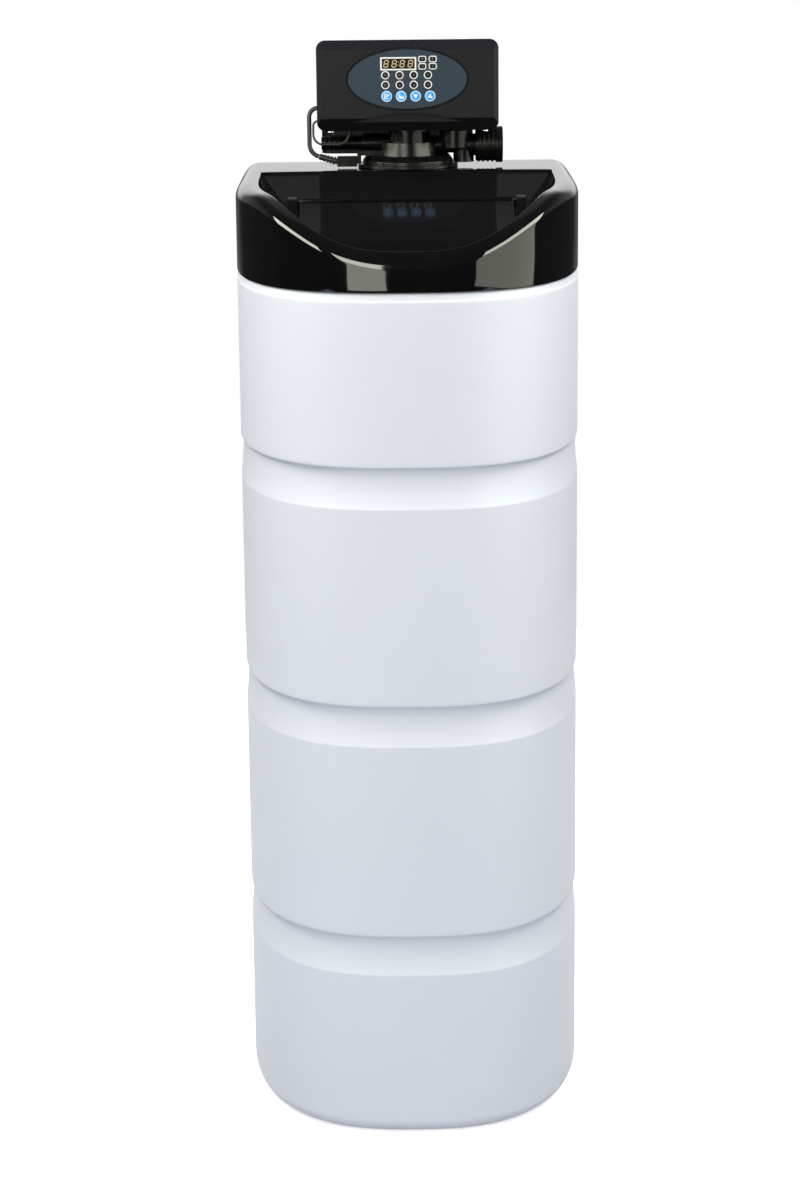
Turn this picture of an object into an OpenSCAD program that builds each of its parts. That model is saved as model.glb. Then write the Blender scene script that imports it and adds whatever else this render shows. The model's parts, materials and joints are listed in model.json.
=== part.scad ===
// Cabinet water softener: a grooved white cabinet that holds salt and a resin vessel, a black top cover
// with a sunken salt flap, and a control head on the vessel's neck.
// Frame: origin on the floor under the middle of the cabinet, +X to the right, -Y to the front, +Z up.

/* [Cabinet] */
// Width of the cabinet
cab_w = 335; // [320:1:370]
// Depth of the cabinet, front to back
cab_d = 500; // [480:1:540]
// Height of the rim that carries the top cover
rim_z = 827; // [790:1:880]
// Wall of the cabinet
wall = 4; // [3:0.5:5]
// Thickness of the cabinet floor
floor_t = 5; // [4:0.5:8]
// Radius of the edge round the cabinet's foot
foot_r = 14; // [8:1:18]
// Roundness of the front half of the plan outline, 2 is an ellipse
front_round = 2.67; // [2.4:0.01:3.2]
// Roundness of the back half of the plan outline
back_round = 6; // [4.5:0.1:8]

/* [Grooves] */
// Height of the upper edge of the lowest groove
groove_low_z = 205; // [180:1:230]
// Height from one groove to the next
groove_pitch = 230; // [210:1:240]
// Number of grooves
groove_count = 3; // [2:1:3]
// Height of a groove
groove_h = 40; // [30:1:50]
// Depth of a groove at the front and back
groove_front = 5; // [3:0.5:6]
// Depth of a groove at the sides
groove_side = 2.5; // [1.5:0.5:4]

/* [Top cover] */
// Height of the cover from the cabinet rim to its flat deck
cover_h = 82; // [76:1:90]
// Wall of the cover
cover_wall = 3; // [2.5:0.5:3.5]
// Radius of the rolled front and back of the cover
roll_r = 125; // [115:1:140]
// Length of the rolled front, measured back from the front edge
roll_len = 104; // [95:1:110]
// Radius of the cover's upper edge at the front
edge_front_r = 6; // [4:0.5:7]
// Radius of the cover's upper edge at the sides and back
edge_back_r = 14; // [10:1:16]
// Width of the rim band in front of the mouth
rim_band = 9.5; // [8.5:0.5:12]
// Width of the deck beside the mouth
mouth_side = 22.5; // [20:0.5:25]
// Distance from the vessel's axis forward to the mouth's straight back edge
mouth_back = 50; // [49:1:56]

/* [Salt flap] */
// Distance from the mouth's side to the flap's side
flap_in = 38; // [33:0.5:50]
// Thickness of the flap
flap_t = 4; // [3:0.5:5]
// Radius of the flap's hollow
flap_r = 255; // [240:1:280]
// Distance from the mouth's back edge forward to the flap's crease, its hinge line
crease_in = 42; // [38:1:50]
// Depth of the crease below the deck
crease_drop = 22.5; // [20:0.5:26]
// Place of the lowest line of the hollow, as a share of the flap's length
hollow_share = 0.64; // [0.59:0.01:0.69]
// Gap in front of the flap
flap_gap = 3; // [2.5:0.5:4]
// Gap at each side of the flap
flap_side_gap = 0.8; // [0.6:0.1:1.2]
// Radius of the hinge pins
pin_r = 2; // [1.5:0.25:2.25]
// Width of the shelf beside the flap, where the hinge ears stand
shelf_w = 15; // [13:0.5:17]
// Radial clearance of a running fit
run_gap = 0.06; // [0.03:0.01:0.1]

/* [Vessel] */
// Radius of the pressure vessel
vessel_r = 128.5; // [115:0.5:132]
// Wall of the vessel
vessel_wall = 4; // [3:0.5:6]
// Height of the vessel's domes
dome_h = 70; // [60:1:80]
// Outer radius of the vessel's neck
neck_r = 38; // [36:0.5:39]
// Sideways place of the vessel and valve axis
axis_x = 2; // [-5:1:5]
// Room between the vessel and the cabinet's back
vessel_back = 21.5; // [19.5:0.5:23.5]
// Height of the resin bed's surface
resin_z = 600; // [400:10:650]
// Outer radius of the riser tube
riser_r = 13.5; // [12:0.5:14]

/* [Valve] */
// Radius of the round base on the vessel's neck
adapter_r = 46; // [43:0.5:47]
// Height of the round base above the deck
adapter_h = 12; // [10:0.5:13]
// Radius of the valve's column under the head
column_r = 20; // [18:0.5:21]
// Height of the branch axes above the deck
branch_h = 21; // [20.5:0.5:22]
// Outer radius of the inlet and outlet stubs
stub_r = 17.5; // [16.5:0.5:18]
// Bore radius of the inlet and outlet stubs
port_r = 13; // [12:0.5:13.5]
// Radius of the drain stub
drain_r = 7; // [6:0.5:7.5]
// Bore radius of the drain stub
drain_bore_r = 4.5; // [4:0.25:5]
// Teeth of the drive gear
gear_teeth = 48; // [40:2:48]
// Teeth of the motor pinion
pinion_teeth = 12; // [12:1:14]
// Gear module
gear_module = 1.5; // [1.3:0.1:1.5]

/* [Control head] */
// Width of the head
head_w = 181; // [176:1:190]
// Depth of the head
head_d = 136; // [132:1:150]
// Height of the head
head_h = 90; // [88:1:96]
// Gap between the deck and the head
head_gap = 40.5; // [39:0.5:46]
// Wall of the head cover
head_wall = 3; // [2.5:0.5:3.5]
// Fall of the head's top to the back, in degrees
head_tilt = 3.6; // [2:0.1:4]
// Corner radius of the head in the front view
head_r = 9; // [6:0.5:11]
// Width of the oval panel
panel_w = 118; // [112:1:124]
// Height of the oval panel
panel_h = 58; // [56:1:60]
// Height of the oval panel's middle above the head's lower edge
panel_up = 51; // [50:0.5:53]
// Radius of a button
button_r = 5.4; // [5:0.1:5.6]
// Travel of a button
button_travel = 0.8; // [0.5:0.1:0.8]
// Distance between neighbouring buttons
button_pitch = 14.4; // [14:0.1:15]

/* [Brine side] */
// Radius of the brine well
well_r = 45; // [40:1:48]
// Depth of the brine well's top below the cabinet's rim
well_drop = 77; // [67:1:127]
// Room between the brine well and the cabinet's left side
well_side = 27.5; // [24.5:0.5:32]
// Distance of the brine well's middle behind the cabinet's front
well_in = 140; // [130:1:150]
// Height of the salt grid's upper face
grid_z = 66; // [60:1:80]
// Travel of the brine float
float_travel = 150; // [100:5:200]

/* [Hidden] */
$fn = 48;

// Clearances and points per ring
slip = 0.1;
seat = 0.3;
ring_points = 64;

// Colours
white_c = [0.87, 0.89, 0.91];
black_c = [0.05, 0.05, 0.055];
satin_c = [0.10, 0.10, 0.11];
panel_c = [0.24, 0.30, 0.33];
blue_c = [0.0, 0.62, 0.95];
steel_c = [0.75, 0.76, 0.78];
resin_c = [0.78, 0.55, 0.22];
ceramic_c = [0.92, 0.92, 0.90];
gear_c = [0.93, 0.92, 0.88];
board_c = [0.05, 0.35, 0.18];
glass_c = [0.30, 0.22, 0.15];
grey_c = [0.62, 0.64, 0.66];

// Levels that stack up from the floor
deck_z = rim_z + cover_h;
adapter_z0 = deck_z + seat;
adapter_z1 = deck_z + adapter_h;
neck_z = deck_z - 7;
branch_z = deck_z + branch_h;
head_z = deck_z + head_gap;
head_top = head_z + head_h;
panel_z = head_z + panel_up;

// Places that follow from the cabinet's width and depth
axis_y = cab_d / 2 - vessel_back - vessel_r;
mouth_w = cab_w - 2 * mouth_side;
mouth_back_y = axis_y - mouth_back;
flap_w = mouth_w - 2 * flap_in;
crease_y = mouth_back_y - crease_in;
flap_front_in = 22;
flap_front_y = flap_front_in - cab_d / 2;
hollow_y = crease_y - hollow_share * (crease_y - flap_front_y);
well_x = well_r + well_side - cab_w / 2;
well_y = well_in - cab_d / 2;
well_top = rim_z - well_drop;

// Plan of the cabinet: two half superellipses, each with its own roundness
function lobe(t, a, front, back, nf, nb) =
    let (n = sin(t) < 0 ? nf : nb, b = sin(t) < 0 ? front : back)
    pow(pow(abs(cos(t)), n) + pow(abs(sin(t)), n), -1 / n) * [a * cos(t), b * sin(t)];
function turn(i) = 360 * i / ring_points;
function plan_point(i, ix, iy) =
    lobe(turn(i), cab_w / 2 - ix, cab_d / 2 - iy, cab_d / 2 - iy, front_round, back_round);
function plan(ix, iy) = [for (i = [0:ring_points - 1]) plan_point(i, ix, iy)];
function level_ring(ix, iy, z) = [for (p = plan(ix, iy)) [p.x, p.y, z]];

// Closed skin through rings of equal length: capped at both ends, or joined from the last ring to the first
function joined(lists) = [for (l = lists, e = l) e];
function strip(k, j, n) = joined([for (i = [0:n - 1])
    let (h = (i + 1) % n)
    [[k * n + i, j * n + i, j * n + h], [k * n + i, j * n + h, k * n + h]]]);
module skin(rings, loop = false) {
    n = len(rings[0]);
    m = len(rings);
    sides = joined([for (k = [0:m - 2]) strip(k, k + 1, n)]);
    ends = loop ? strip(m - 1, 0, n)
        : [[for (i = [0:n - 1]) i], [for (i = [n - 1:-1:0]) (m - 1) * n + i]];
    polyhedron(joined(rings), concat(sides, ends), convexity = 8);
}

// Round bars along the axes, from one place to another
module bar_x(x0, x1, r, y, z) {
    translate([min(x0, x1), y, z]) rotate([0, 90, 0]) cylinder(h = abs(x1 - x0), r = r);
}
module bar_y(y0, y1, r, x, z) {
    translate([x, max(y0, y1), z]) rotate([90, 0, 0]) cylinder(h = abs(y1 - y0), r = r);
}
module bar_z(z0, z1, r, x, y) {
    translate([x, y, min(z0, z1)]) cylinder(h = abs(z1 - z0), r = r);
}
module block(low, high) {
    translate(low) cube(high - low);
}
module on_axis() {
    translate([axis_x, axis_y, 0]) children();
}

// Cabinet
groove_tops = [for (i = [0:groove_count - 1]) groove_low_z + i * groove_pitch];
shoulder_h = 8;
shoulder_in = 2.5;
bead_in = 6.5;
bead_h = 16;
lip_line = 0.5;
function groove_in(s) = 1 - pow(1 - s, 2);
function groove_rings(top) = concat(
    [for (s = [0, 0.12, 0.35, 0.65, 1])
        level_ring(groove_side * groove_in(s), groove_front * groove_in(s),
                   top - groove_h + s * (groove_h - 1.2))],
    [level_ring(lip_line, lip_line, top - 0.6), level_ring(0, 0, top + lip_line)]);
function groove_backs(top) = [
    level_ring(wall, wall, top + wall),
    level_ring(wall + groove_side, wall + groove_front, top - wall),
    level_ring(wall + groove_side * 0.6, wall + groove_front * 0.6, top - groove_h * 0.65),
    level_ring(wall, wall, top - groove_h - wall)];
function cabinet_rings() = concat(
    [for (a = [0:30:90]) level_ring(foot_r * (1 - sin(a)), foot_r * (1 - sin(a)), foot_r * (1 - cos(a)))],
    joined([for (top = groove_tops) groove_rings(top)]),
    [level_ring(0, 0, rim_z - shoulder_h), level_ring(lip_line, lip_line, rim_z - shoulder_h + lip_line),
     level_ring(shoulder_in / 2, shoulder_in / 2, rim_z - shoulder_h / 4),
     level_ring(shoulder_in, shoulder_in, rim_z), level_ring(bead_in, bead_in, rim_z),
     level_ring(bead_in, bead_in, rim_z - bead_h), level_ring(wall, wall, rim_z - bead_h - wall)],
    joined([for (i = [groove_count - 1:-1:0]) groove_backs(groove_tops[i])]),
    [level_ring(wall, wall, floor_t + foot_r), level_ring(wall + foot_r, wall + foot_r, floor_t)]);
overflow_x = -40;
overflow_z = rim_z - 92;
overflow_r = 8;
module cabinet_shell() {
    color(white_c) difference() {
        skin(cabinet_rings());
        bar_y(cab_d / 2 - wall * 3, cab_d / 2 + wall, overflow_r + seat, overflow_x, overflow_z);
    }
}

// Top cover: one skin from the outer wall over the rim, down the mouth and back along the inside
roll_y = roll_len - cab_d / 2;
roll_back_y = axis_y + adapter_r;
function top_z(y) = let (past = max(roll_y - y, y - roll_back_y, 0))
    deck_z - roll_r + sqrt(max(pow(roll_r, 2) - pow(past, 2), 0));
function frontness(y) = min(1, (y + cab_d / 2) / 150);
function edge_r(i) = let (y = plan_point(i, 0, 0).y)
    edge_front_r + (edge_back_r - edge_front_r) * frontness(y);
function edge_ring(a) = [for (i = [0:ring_points - 1])
    let (inset = edge_r(i) * (1 - cos(a)), p = plan_point(i, inset, inset))
    [p.x, p.y, top_z(p.y) - edge_r(i) * (1 - sin(a))]];
mouth_round = 3.1;
mouth_corner = 8;
function mouth_ring(grow, drop) = [for (i = [0:ring_points - 1])
    let (y0 = mouth_back_y - mouth_corner,
         p = lobe(turn(i), mouth_w / 2 + grow, y0 + cab_d / 2 - rim_band + grow, mouth_corner + grow,
                  mouth_round, 4))
    [p.x, p.y + y0, top_z(p.y + y0) - drop]];

// Hollow of the flap, an arc about a line along X
crease_z = deck_z - crease_drop;
hollow_z = crease_z + sqrt(pow(flap_r, 2) - pow(crease_y - hollow_y, 2));
function hollow_at(y, deeper) = hollow_z - sqrt(pow(flap_r + deeper, 2) - pow(y - hollow_y, 2));
flap_round = 4.5;
flap_back = 3.5;
ledge_w = 8;
ledge_gap = 0.7;
function flap_ring(side, front, back, drop) = [for (i = [0:ring_points - 1])
    let (p = lobe(turn(i), flap_w / 2 + side, crease_y - flap_front_y + front, flap_back + back,
                  flap_round, 8))
    [p.x, p.y + crease_y, hollow_at(p.y + crease_y, flap_t + ledge_gap) - drop]];

// The skirt hangs inside the cabinet's rim
skirt_in = bead_in + seat;
skirt_t = 2.5;
skirt_h = 12;
inner_edge = 0.6;
function inner_edge_ring() = [for (i = [0:ring_points - 1])
    let (p = plan_point(i, cover_wall, cover_wall))
    [p.x, p.y, top_z(p.y) - cover_wall - edge_r(i) * inner_edge]];
// Rings over the rolled back, from the edge's own inset inwards to where the deck lies flat
deck_in = 1;
back_shares = [0.67, 0.33, 0];
function deck_ring(insets, share, drop) = [for (i = [0:ring_points - 1])
    let (inset = insets[i] + deck_in * (1 - share), p = plan_point(i, inset, inset),
         y = p.y - (1 - share) * max(p.y - roll_back_y, 0))
    [p.x, y, top_z(y) - drop]];
under_scale = 1.2;
under_less = 2.7;
top_insets = [for (i = [0:ring_points - 1]) edge_r(i)];
under_insets = [for (r = top_insets) r * under_scale - under_less];
function cover_rings() = concat(
    [level_ring(0, 0, rim_z)],
    [for (a = [0:30:90]) edge_ring(a)],
    [for (s = back_shares) deck_ring(top_insets, s, 0)],
    [mouth_ring(0, 0),
     flap_ring(shelf_w, flap_gap, 0, 0),
     flap_ring(flap_side_gap, -ledge_w, -1, 0),
     flap_ring(flap_side_gap, -ledge_w, -1, cover_wall),
     flap_ring(shelf_w + cover_wall, flap_gap + cover_wall, cover_wall, cover_wall),
     mouth_ring(cover_wall, cover_wall)],
    [for (s = concat(reversed(back_shares), [1])) deck_ring(under_insets, s, cover_wall)],
    [inner_edge_ring(),
     level_ring(cover_wall, cover_wall, rim_z + 10),
     level_ring(skirt_in + skirt_t, skirt_in + skirt_t, rim_z + 3),
     level_ring(skirt_in + skirt_t, skirt_in + skirt_t, rim_z - skirt_h),
     level_ring(skirt_in, skirt_in, rim_z - skirt_h),
     level_ring(skirt_in, skirt_in, rim_z)]);
hinge_y = crease_y - 2;
hinge_z = crease_z - 2.5;
barrel_r = pin_r + 1.5;
barrel_x = flap_w / 2 - 3;
ear_x = flap_w / 2 + 1.5;
ear_w = 9.5;
ear_l = 20;
ear_top = barrel_r + 0.8;
pin_in = 12;
neck_hole_r = adapter_r - 5;
module mirrored_x() {
    children();
    mirror([1, 0, 0]) children();
}
module top_cover() {
    color(black_c) difference() {
        skin(cover_rings(), loop = true);
        on_axis() translate([0, 0, deck_z - 20]) cylinder(h = 40, r = neck_hole_r);
    }
}
// Ears on the shelf beside the flap, shaped underneath to the hollow
module hinge_ears() {
    back = hinge_y + ear_top;
    color(black_c) mirrored_x() difference() {
        intersection() {
            translate([ear_x, 0, 0]) rotate([90, 0, 90]) linear_extrude(height = ear_w) polygon([
                [hinge_y - ear_l, hinge_z - 3 * ear_l], [hinge_y - ear_l, hinge_z - ear_l * 0.6],
                [hinge_y - ear_top * 2, hinge_z + ear_top / 2], [hinge_y - ear_top / 2, hinge_z + ear_top],
                [back, hinge_z + ear_top], [back, hinge_z - 3 * ear_l]]);
            hollow_bar(flap_t);
        }
        bar_x(ear_x - 1, ear_x + ear_w - 2, pin_r + 0.02, hinge_y, hinge_z);
    }
}

// Salt flap: a plate with an arched section, cut to the mouth's plan, on a hinge barrel
module flap_plan() {
    polygon([for (t = [180:360 / ring_points / 2:360])
        let (p = lobe(t, flap_w / 2, crease_y - flap_front_y, 1, flap_round, 2)) [p.x, p.y + crease_y]]);
}
module hollow_bar(deeper) {
    bar_x(-cab_w, cab_w, flap_r + deeper, hollow_y, hollow_z, $fn = 240);
}
module salt_flap() {
    color(black_c) difference() {
        union() {
            intersection() {
                translate([0, 0, crease_z - 80]) linear_extrude(height = 100) flap_plan();
                difference() {
                    hollow_bar(flap_t);
                    hollow_bar(0);
                }
            }
            bar_x(-barrel_x, barrel_x, barrel_r, hinge_y, hinge_z);
        }
        mirrored_x() bar_x(barrel_x, flap_w, barrel_r + 1, hinge_y, hinge_z);
        mirrored_x() bar_x(barrel_x - pin_in - 1, flap_w, pin_r + run_gap, hinge_y, hinge_z);
    }
}
module flap_hinge_pins() {
    color(steel_c) mirrored_x() bar_x(barrel_x - pin_in, ear_x + ear_w - 2, pin_r, hinge_y, hinge_z);
}

// Overflow at the back: a bulkhead elbow that points down
gasket_t = 2;
flange_t = 3;
flange_r = overflow_r + 5;
elbow_wall = 2.5;
elbow_out = 22;
elbow_down = 34;
hose_end_r = overflow_r - 0.5;
hose_end_l = 22;
elbow_y = cab_d / 2 + gasket_t + elbow_out;
nut_t = 8;
nut_y = cab_d / 2 - wall - 2 * slip;
module overflow_elbow() {
    color(satin_c) difference() {
        union() {
            bar_y(nut_y - nut_t - 6, elbow_y, overflow_r, overflow_x, overflow_z);
            bar_y(elbow_y - elbow_out, elbow_y - elbow_out + flange_t, flange_r, overflow_x, overflow_z);
            translate([overflow_x, elbow_y, overflow_z]) sphere(r = overflow_r);
            bar_z(overflow_z - elbow_down, overflow_z, hose_end_r, overflow_x, elbow_y);
            bar_z(overflow_z - elbow_down + hose_end_l, overflow_z, overflow_r, overflow_x, elbow_y);
        }
        bar_y(0, elbow_y, overflow_r - elbow_wall, overflow_x, overflow_z);
        bar_z(overflow_z - elbow_down - 1, overflow_z, overflow_r - elbow_wall, overflow_x, elbow_y);
    }
}
module overflow_gasket() {
    color(satin_c) difference() {
        bar_y(cab_d / 2, cab_d / 2 + gasket_t, flange_r, overflow_x, overflow_z);
        bar_y(cab_d / 2 - 1, cab_d / 2 + gasket_t + 1, overflow_r + slip, overflow_x, overflow_z);
    }
}
module overflow_nut() {
    color(satin_c) difference() {
        translate([overflow_x, nut_y, overflow_z]) rotate([90, 0, 0])
            cylinder(h = nut_t, r = flange_r + 1, $fn = 6);
        bar_y(nut_y - nut_t - 1, nut_y + 1, overflow_r + slip, overflow_x, overflow_z);
    }
}

// Pressure vessel: straight shell between two domes, with a neck
vessel_low = floor_t + 10;
low_dome_z = vessel_low + dome_h;
neck_blend = dome_h * sqrt(1 - pow(neck_r / vessel_r, 2));
high_dome_z = neck_z - 28 - neck_blend;
neck_wall = 6;
dome_steps = [0:7.5:90];
function low_dome(r, h) = [for (a = dome_steps) [r * sin(a), low_dome_z - h * cos(a)]];
function high_dome(r, h, r_end) = let (top = acos(r_end / r))
    [for (s = [0:0.1:1]) [r * cos(s * top), high_dome_z + h * sin(s * top)]];
function reversed(l) = [for (i = [len(l) - 1:-1:0]) l[i]];
function vessel_outside(grow) = concat(low_dome(vessel_r + grow, dome_h + grow),
    high_dome(vessel_r + grow, dome_h + grow, neck_r + grow));
module pressure_vessel() {
    inner_r = vessel_r - vessel_wall;
    inner_h = dome_h - vessel_wall;
    color(grey_c) on_axis() rotate_extrude() polygon(concat(vessel_outside(0),
        [[neck_r, neck_z], [neck_r - neck_wall, neck_z]],
        reversed(high_dome(inner_r, inner_h, neck_r - neck_wall)), reversed(low_dome(inner_r, inner_h))));
}
boot_z = floor_t + 75;
module vessel_boot() {
    color(satin_c) on_axis() rotate_extrude() difference() {
        translate([vessel_r * 0.35, floor_t]) square([vessel_r * 0.6, boot_z - floor_t]);
        polygon(concat(vessel_outside(slip), [[0, high_dome_z]]));
    }
}
strainer_r = 22;
strainer_low = low_dome_z - dome_h + vessel_wall + 4;
strainer_h = 55;
riser_low = strainer_low + 25;
module resin_bed() {
    gap_r = vessel_r - vessel_wall - slip;
    color(resin_c) on_axis() rotate_extrude() difference() {
        polygon(concat(low_dome(gap_r, dome_h - vessel_wall - slip), [[gap_r, resin_z], [0, resin_z]]));
        square([riser_r + slip, resin_z + 1]);
        square([strainer_r + slip, strainer_low + strainer_h + slip]);
    }
}
riser_top = adapter_z1 + 8;
module riser_tube() {
    color(white_c) on_axis() difference() {
        translate([0, 0, riser_low]) cylinder(h = riser_top - riser_low, r = riser_r);
        translate([0, 0, riser_low - 1]) cylinder(h = riser_top - riser_low + 2, r = riser_r - 2);
    }
}
// Slotted basket round the riser tube, closed at one end
module strainer(r, z, h, rest) {
    on_axis() difference() {
        translate([0, 0, z]) cylinder(h = h, r = r);
        translate([0, 0, z + rest]) cylinder(h = h + 2, r = riser_r + slip);
        for (i = [0:7]) rotate(45 * i) translate([riser_r + 3, -1, z + 6]) cube([r, 2, h - 12]);
    }
}
module lower_distributor() {
    color(white_c) strainer(strainer_r, strainer_low, strainer_h, riser_low - strainer_low);
}
screen_h = 60;
screen_z = neck_z - screen_h - 14;
spigot_h = 20;
module upper_distributor() {
    color(white_c) strainer(strainer_r + 3, screen_z, screen_h + 14 - spigot_h, -1);
}

// Valve base on the neck
spigot_r = neck_r - neck_wall - slip;
seal_r = 0.9;
seal_at = neck_r - neck_wall / 2;
straight_h = adapter_h * 0.55;
base_rim_out = 5;
base_rim_h = 3.2;
module tank_adapter() {
    color(satin_c) on_axis() difference() {
        union() {
            translate([0, 0, neck_z - spigot_h]) cylinder(h = spigot_h + 1, r = spigot_r);
            translate([0, 0, neck_z]) cylinder(h = adapter_z0 - neck_z + 1, r = neck_r + 1);
            translate([0, 0, adapter_z0]) cylinder(h = base_rim_h, r = adapter_r + base_rim_out);
            translate([0, 0, adapter_z0]) cylinder(h = straight_h, r = adapter_r);
            translate([0, 0, adapter_z0 + straight_h])
                cylinder(h = adapter_z1 - adapter_z0 - straight_h, r1 = adapter_r, r2 = adapter_r - 4);
        }
        translate([0, 0, neck_z - spigot_h - 1]) cylinder(h = 100, r = riser_r + 6);
        translate([0, 0, neck_z]) rotate_extrude() translate([seal_at, 0])
            square(4 * [seal_r + slip, seal_r + slip], center = true);
    }
}
module neck_seal() {
    color(satin_c) on_axis() translate([0, 0, neck_z + seal_r + slip]) rotate_extrude()
        translate([seal_at, 0]) circle(r = seal_r);
}

// Valve body: cone and column with branches to the right, back and left, and a manifold behind them
cone_h = 13;
cone_z = adapter_z1 + cone_h;
column_top = head_z + 7.5;
collar_z = head_z - 4;
branch_clear = 0.8;
branch_r = branch_h - adapter_h - branch_clear;
meter_out = 48;
meter_x = axis_x + meter_out;
meter_r = 16;
meter_h = 15;
cup_r = 10.5;
cup_x = axis_x + adapter_r + seat + cup_r;
branch_end = cup_x + cup_r + 1.7;
drain_out = 40;
drain_end = axis_x - drain_out;
drain_z = branch_z + 2.5;
rear_out = 55;
rear_end = axis_y + rear_out;
brine_out = 26;
brine_up = 6.5;
brine_x = axis_x - brine_out;
brine_z = adapter_z1 + brine_up;
plug_gap = 0.5;
plug_front = 15;
plug_up = 6;
plug_x = axis_x - adapter_r - base_rim_out - plug_gap;
plug_y = axis_y - plug_front;
plug_z = deck_z + plug_up;
arm_half = 5;
arm_t = 5;
arm_z = adapter_z1 + 0.5;
leg_t = 4;
leg_low = 1.5;
manifold_r = 13.5;
manifold_back = 24.5;
manifold_left = 74.5;
manifold_gap = 2;
manifold_xs = [axis_x - manifold_left, branch_end - manifold_gap - manifold_r];
module valve_body() {
    color(satin_c) difference() {
        union() {
            on_axis() translate([0, 0, adapter_z1])
                cylinder(h = cone_h, r1 = column_r + 11.5, r2 = column_r + 9);
            bar_z(cone_z - 1, column_top, column_r, axis_x, axis_y);
            bar_z(collar_z, head_z + seat, column_r + 6, axis_x, axis_y);
            bar_x(axis_x, branch_end, branch_r, axis_y, branch_z);
            bar_x(axis_x + adapter_r + 4, branch_end, branch_r + 3, axis_y, branch_z);
            bar_z(branch_z - 2, branch_z + meter_h, meter_r, meter_x, axis_y);
            bar_z(deck_z + 4, branch_z + 1.5, cup_r, cup_x, axis_y);
            bar_x(drain_end, axis_x, drain_r + 2, axis_y, drain_z);
            bar_y(axis_y, rear_end, branch_r, axis_x, branch_z);
            bar_y(axis_y + adapter_r + 2, rear_end, branch_r + 3, axis_x, branch_z);
            bar_y(axis_y, axis_y + adapter_r - 4, 6, brine_x, brine_z);
            block([plug_x, plug_y - arm_half, arm_z], [axis_x - column_r, plug_y + arm_half, arm_z + arm_t]);
            block([plug_x, plug_y - arm_half, plug_z - leg_low],
                  [plug_x + leg_t, plug_y + arm_half, arm_z + 1]);
            hull() for (x = manifold_xs)
                bar_z(adapter_z1, head_z - manifold_gap, manifold_r, x, axis_y + manifold_back);
        }
        on_axis() translate([0, 0, adapter_z1 - 1]) cylinder(h = 100, r = riser_r + slip);
        bar_x(axis_x + column_r - 3, branch_end + 1, branch_r - 2.5, axis_y, branch_z);
        bar_y(axis_y + column_r - 3, rear_end + 1, branch_r - 2.5, axis_x, branch_z);
        bar_x(drain_end - 1, axis_x - column_r + 3, drain_bore_r, axis_y, drain_z);
        bar_x(drain_end - 1, drain_end + flow_disc_t, flow_disc_r + slip, axis_y, drain_z);
        bar_y(axis_y + 10, axis_y + adapter_r, 3, brine_x, brine_z);
    }
}

// Rotary valve inside the head: ceramic discs in a housing, turned by the shaft through the cap
house_r = 40;
house_h = 25;
house_wall = 5;
disc_t = 6;
house_z = column_top;
disc_z = house_z + 4;
shaft_r = 6;
flange_h = 4;
cap_z = house_z + house_h;
cap_t = 6;
gear_z = cap_z + cap_t + 1;
gear_h = 7;
shaft_top = gear_z + gear_h + 3;
post_y = gear_module * gear_teeth / 2 + 9;
bracket_z = shaft_top + 3;
bracket_t = 2.5;
module disc_housing() {
    color(satin_c) on_axis() difference() {
        translate([0, 0, house_z]) cylinder(h = house_h, r = house_r);
        translate([0, 0, disc_z]) cylinder(h = house_h, r = house_r - house_wall);
        translate([0, 0, house_z - 1]) cylinder(h = 10, r = riser_r);
    }
}
module disc(r, z, ports) {
    on_axis() difference() {
        translate([0, 0, z]) cylinder(h = disc_t, r = r);
        for (a = ports) rotate(a) translate([r * 0.6, 0, z - 1]) cylinder(h = disc_t + 2, r = 5);
    }
}
module fixed_disc() {
    color(ceramic_c) disc(house_r - house_wall - slip, disc_z, [0, 72, 144, 216, 288]);
}
disc_gap = 0.05;
module moving_disc() {
    color(ceramic_c) disc(house_r - house_wall - 2, disc_z + disc_t + disc_gap, [0, 144]);
}
flange_z = disc_z + 2 * disc_t + disc_gap;
module drive_shaft() {
    color(gear_c) on_axis() union() {
        translate([0, 0, flange_z]) cylinder(h = flange_h, r = 2 * shaft_r);
        translate([0, 0, flange_z + 1]) cylinder(h = shaft_top - flange_z - 1, r = shaft_r);
    }
}
module valve_cap() {
    color(satin_c) difference() {
        union() {
            bar_z(cap_z, cap_z + cap_t, house_r, axis_x, axis_y);
            block([axis_x - 10, axis_y - post_y - 6, cap_z],
                  [axis_x + 10, axis_y + post_y + 6, cap_z + cap_t]);
        }
        on_axis() translate([0, 0, cap_z - 1]) cylinder(h = cap_t + 2, r = shaft_r + run_gap);
    }
}

// Involute spur gears with a little backlash
pressure_angle = 20;
backlash = 0.25;
function involute(rb, u) = [rb * (cos(u) + u * PI / 180 * sin(u)), rb * (sin(u) - u * PI / 180 * cos(u))];
function roll_angle(rb, r) = r > rb ? sqrt(pow(r / rb, 2) - 1) * 180 / PI : 0;
function polar_angle(p) = atan2(p.y, p.x);
module gear_plan(teeth) {
    rp = gear_module * teeth / 2;
    rb = rp * cos(pressure_angle);
    ra = rp + 0.9 * gear_module;
    rf = rp - 1.25 * gear_module;
    pitch_turn = polar_angle(involute(rb, roll_angle(rb, rp)));
    half = 90 / teeth - backlash / 2 / rp * 180 / PI + pitch_turn;
    us = [for (s = [0:0.25:1]) s * roll_angle(rb, ra)];
    flank = [for (u = us) let (p = involute(rb, u)) [norm(p), half - polar_angle(p)]];
    tooth = concat([[rf, -half]], [for (f = flank) [f[0], -f[1]]], reversed(flank), [[rf, half]]);
    polygon(joined([for (i = [0:teeth - 1])
        [for (q = tooth) q[0] * [cos(q[1] + 360 * i / teeth), sin(q[1] + 360 * i / teeth)]]]));
}
module drive_gear() {
    color(gear_c) on_axis() translate([0, 0, gear_z]) difference() {
        linear_extrude(height = gear_h) gear_plan(gear_teeth);
        translate([0, 0, -1]) cylinder(h = gear_h + 2, r = shaft_r + 0.02);
    }
}
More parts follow.
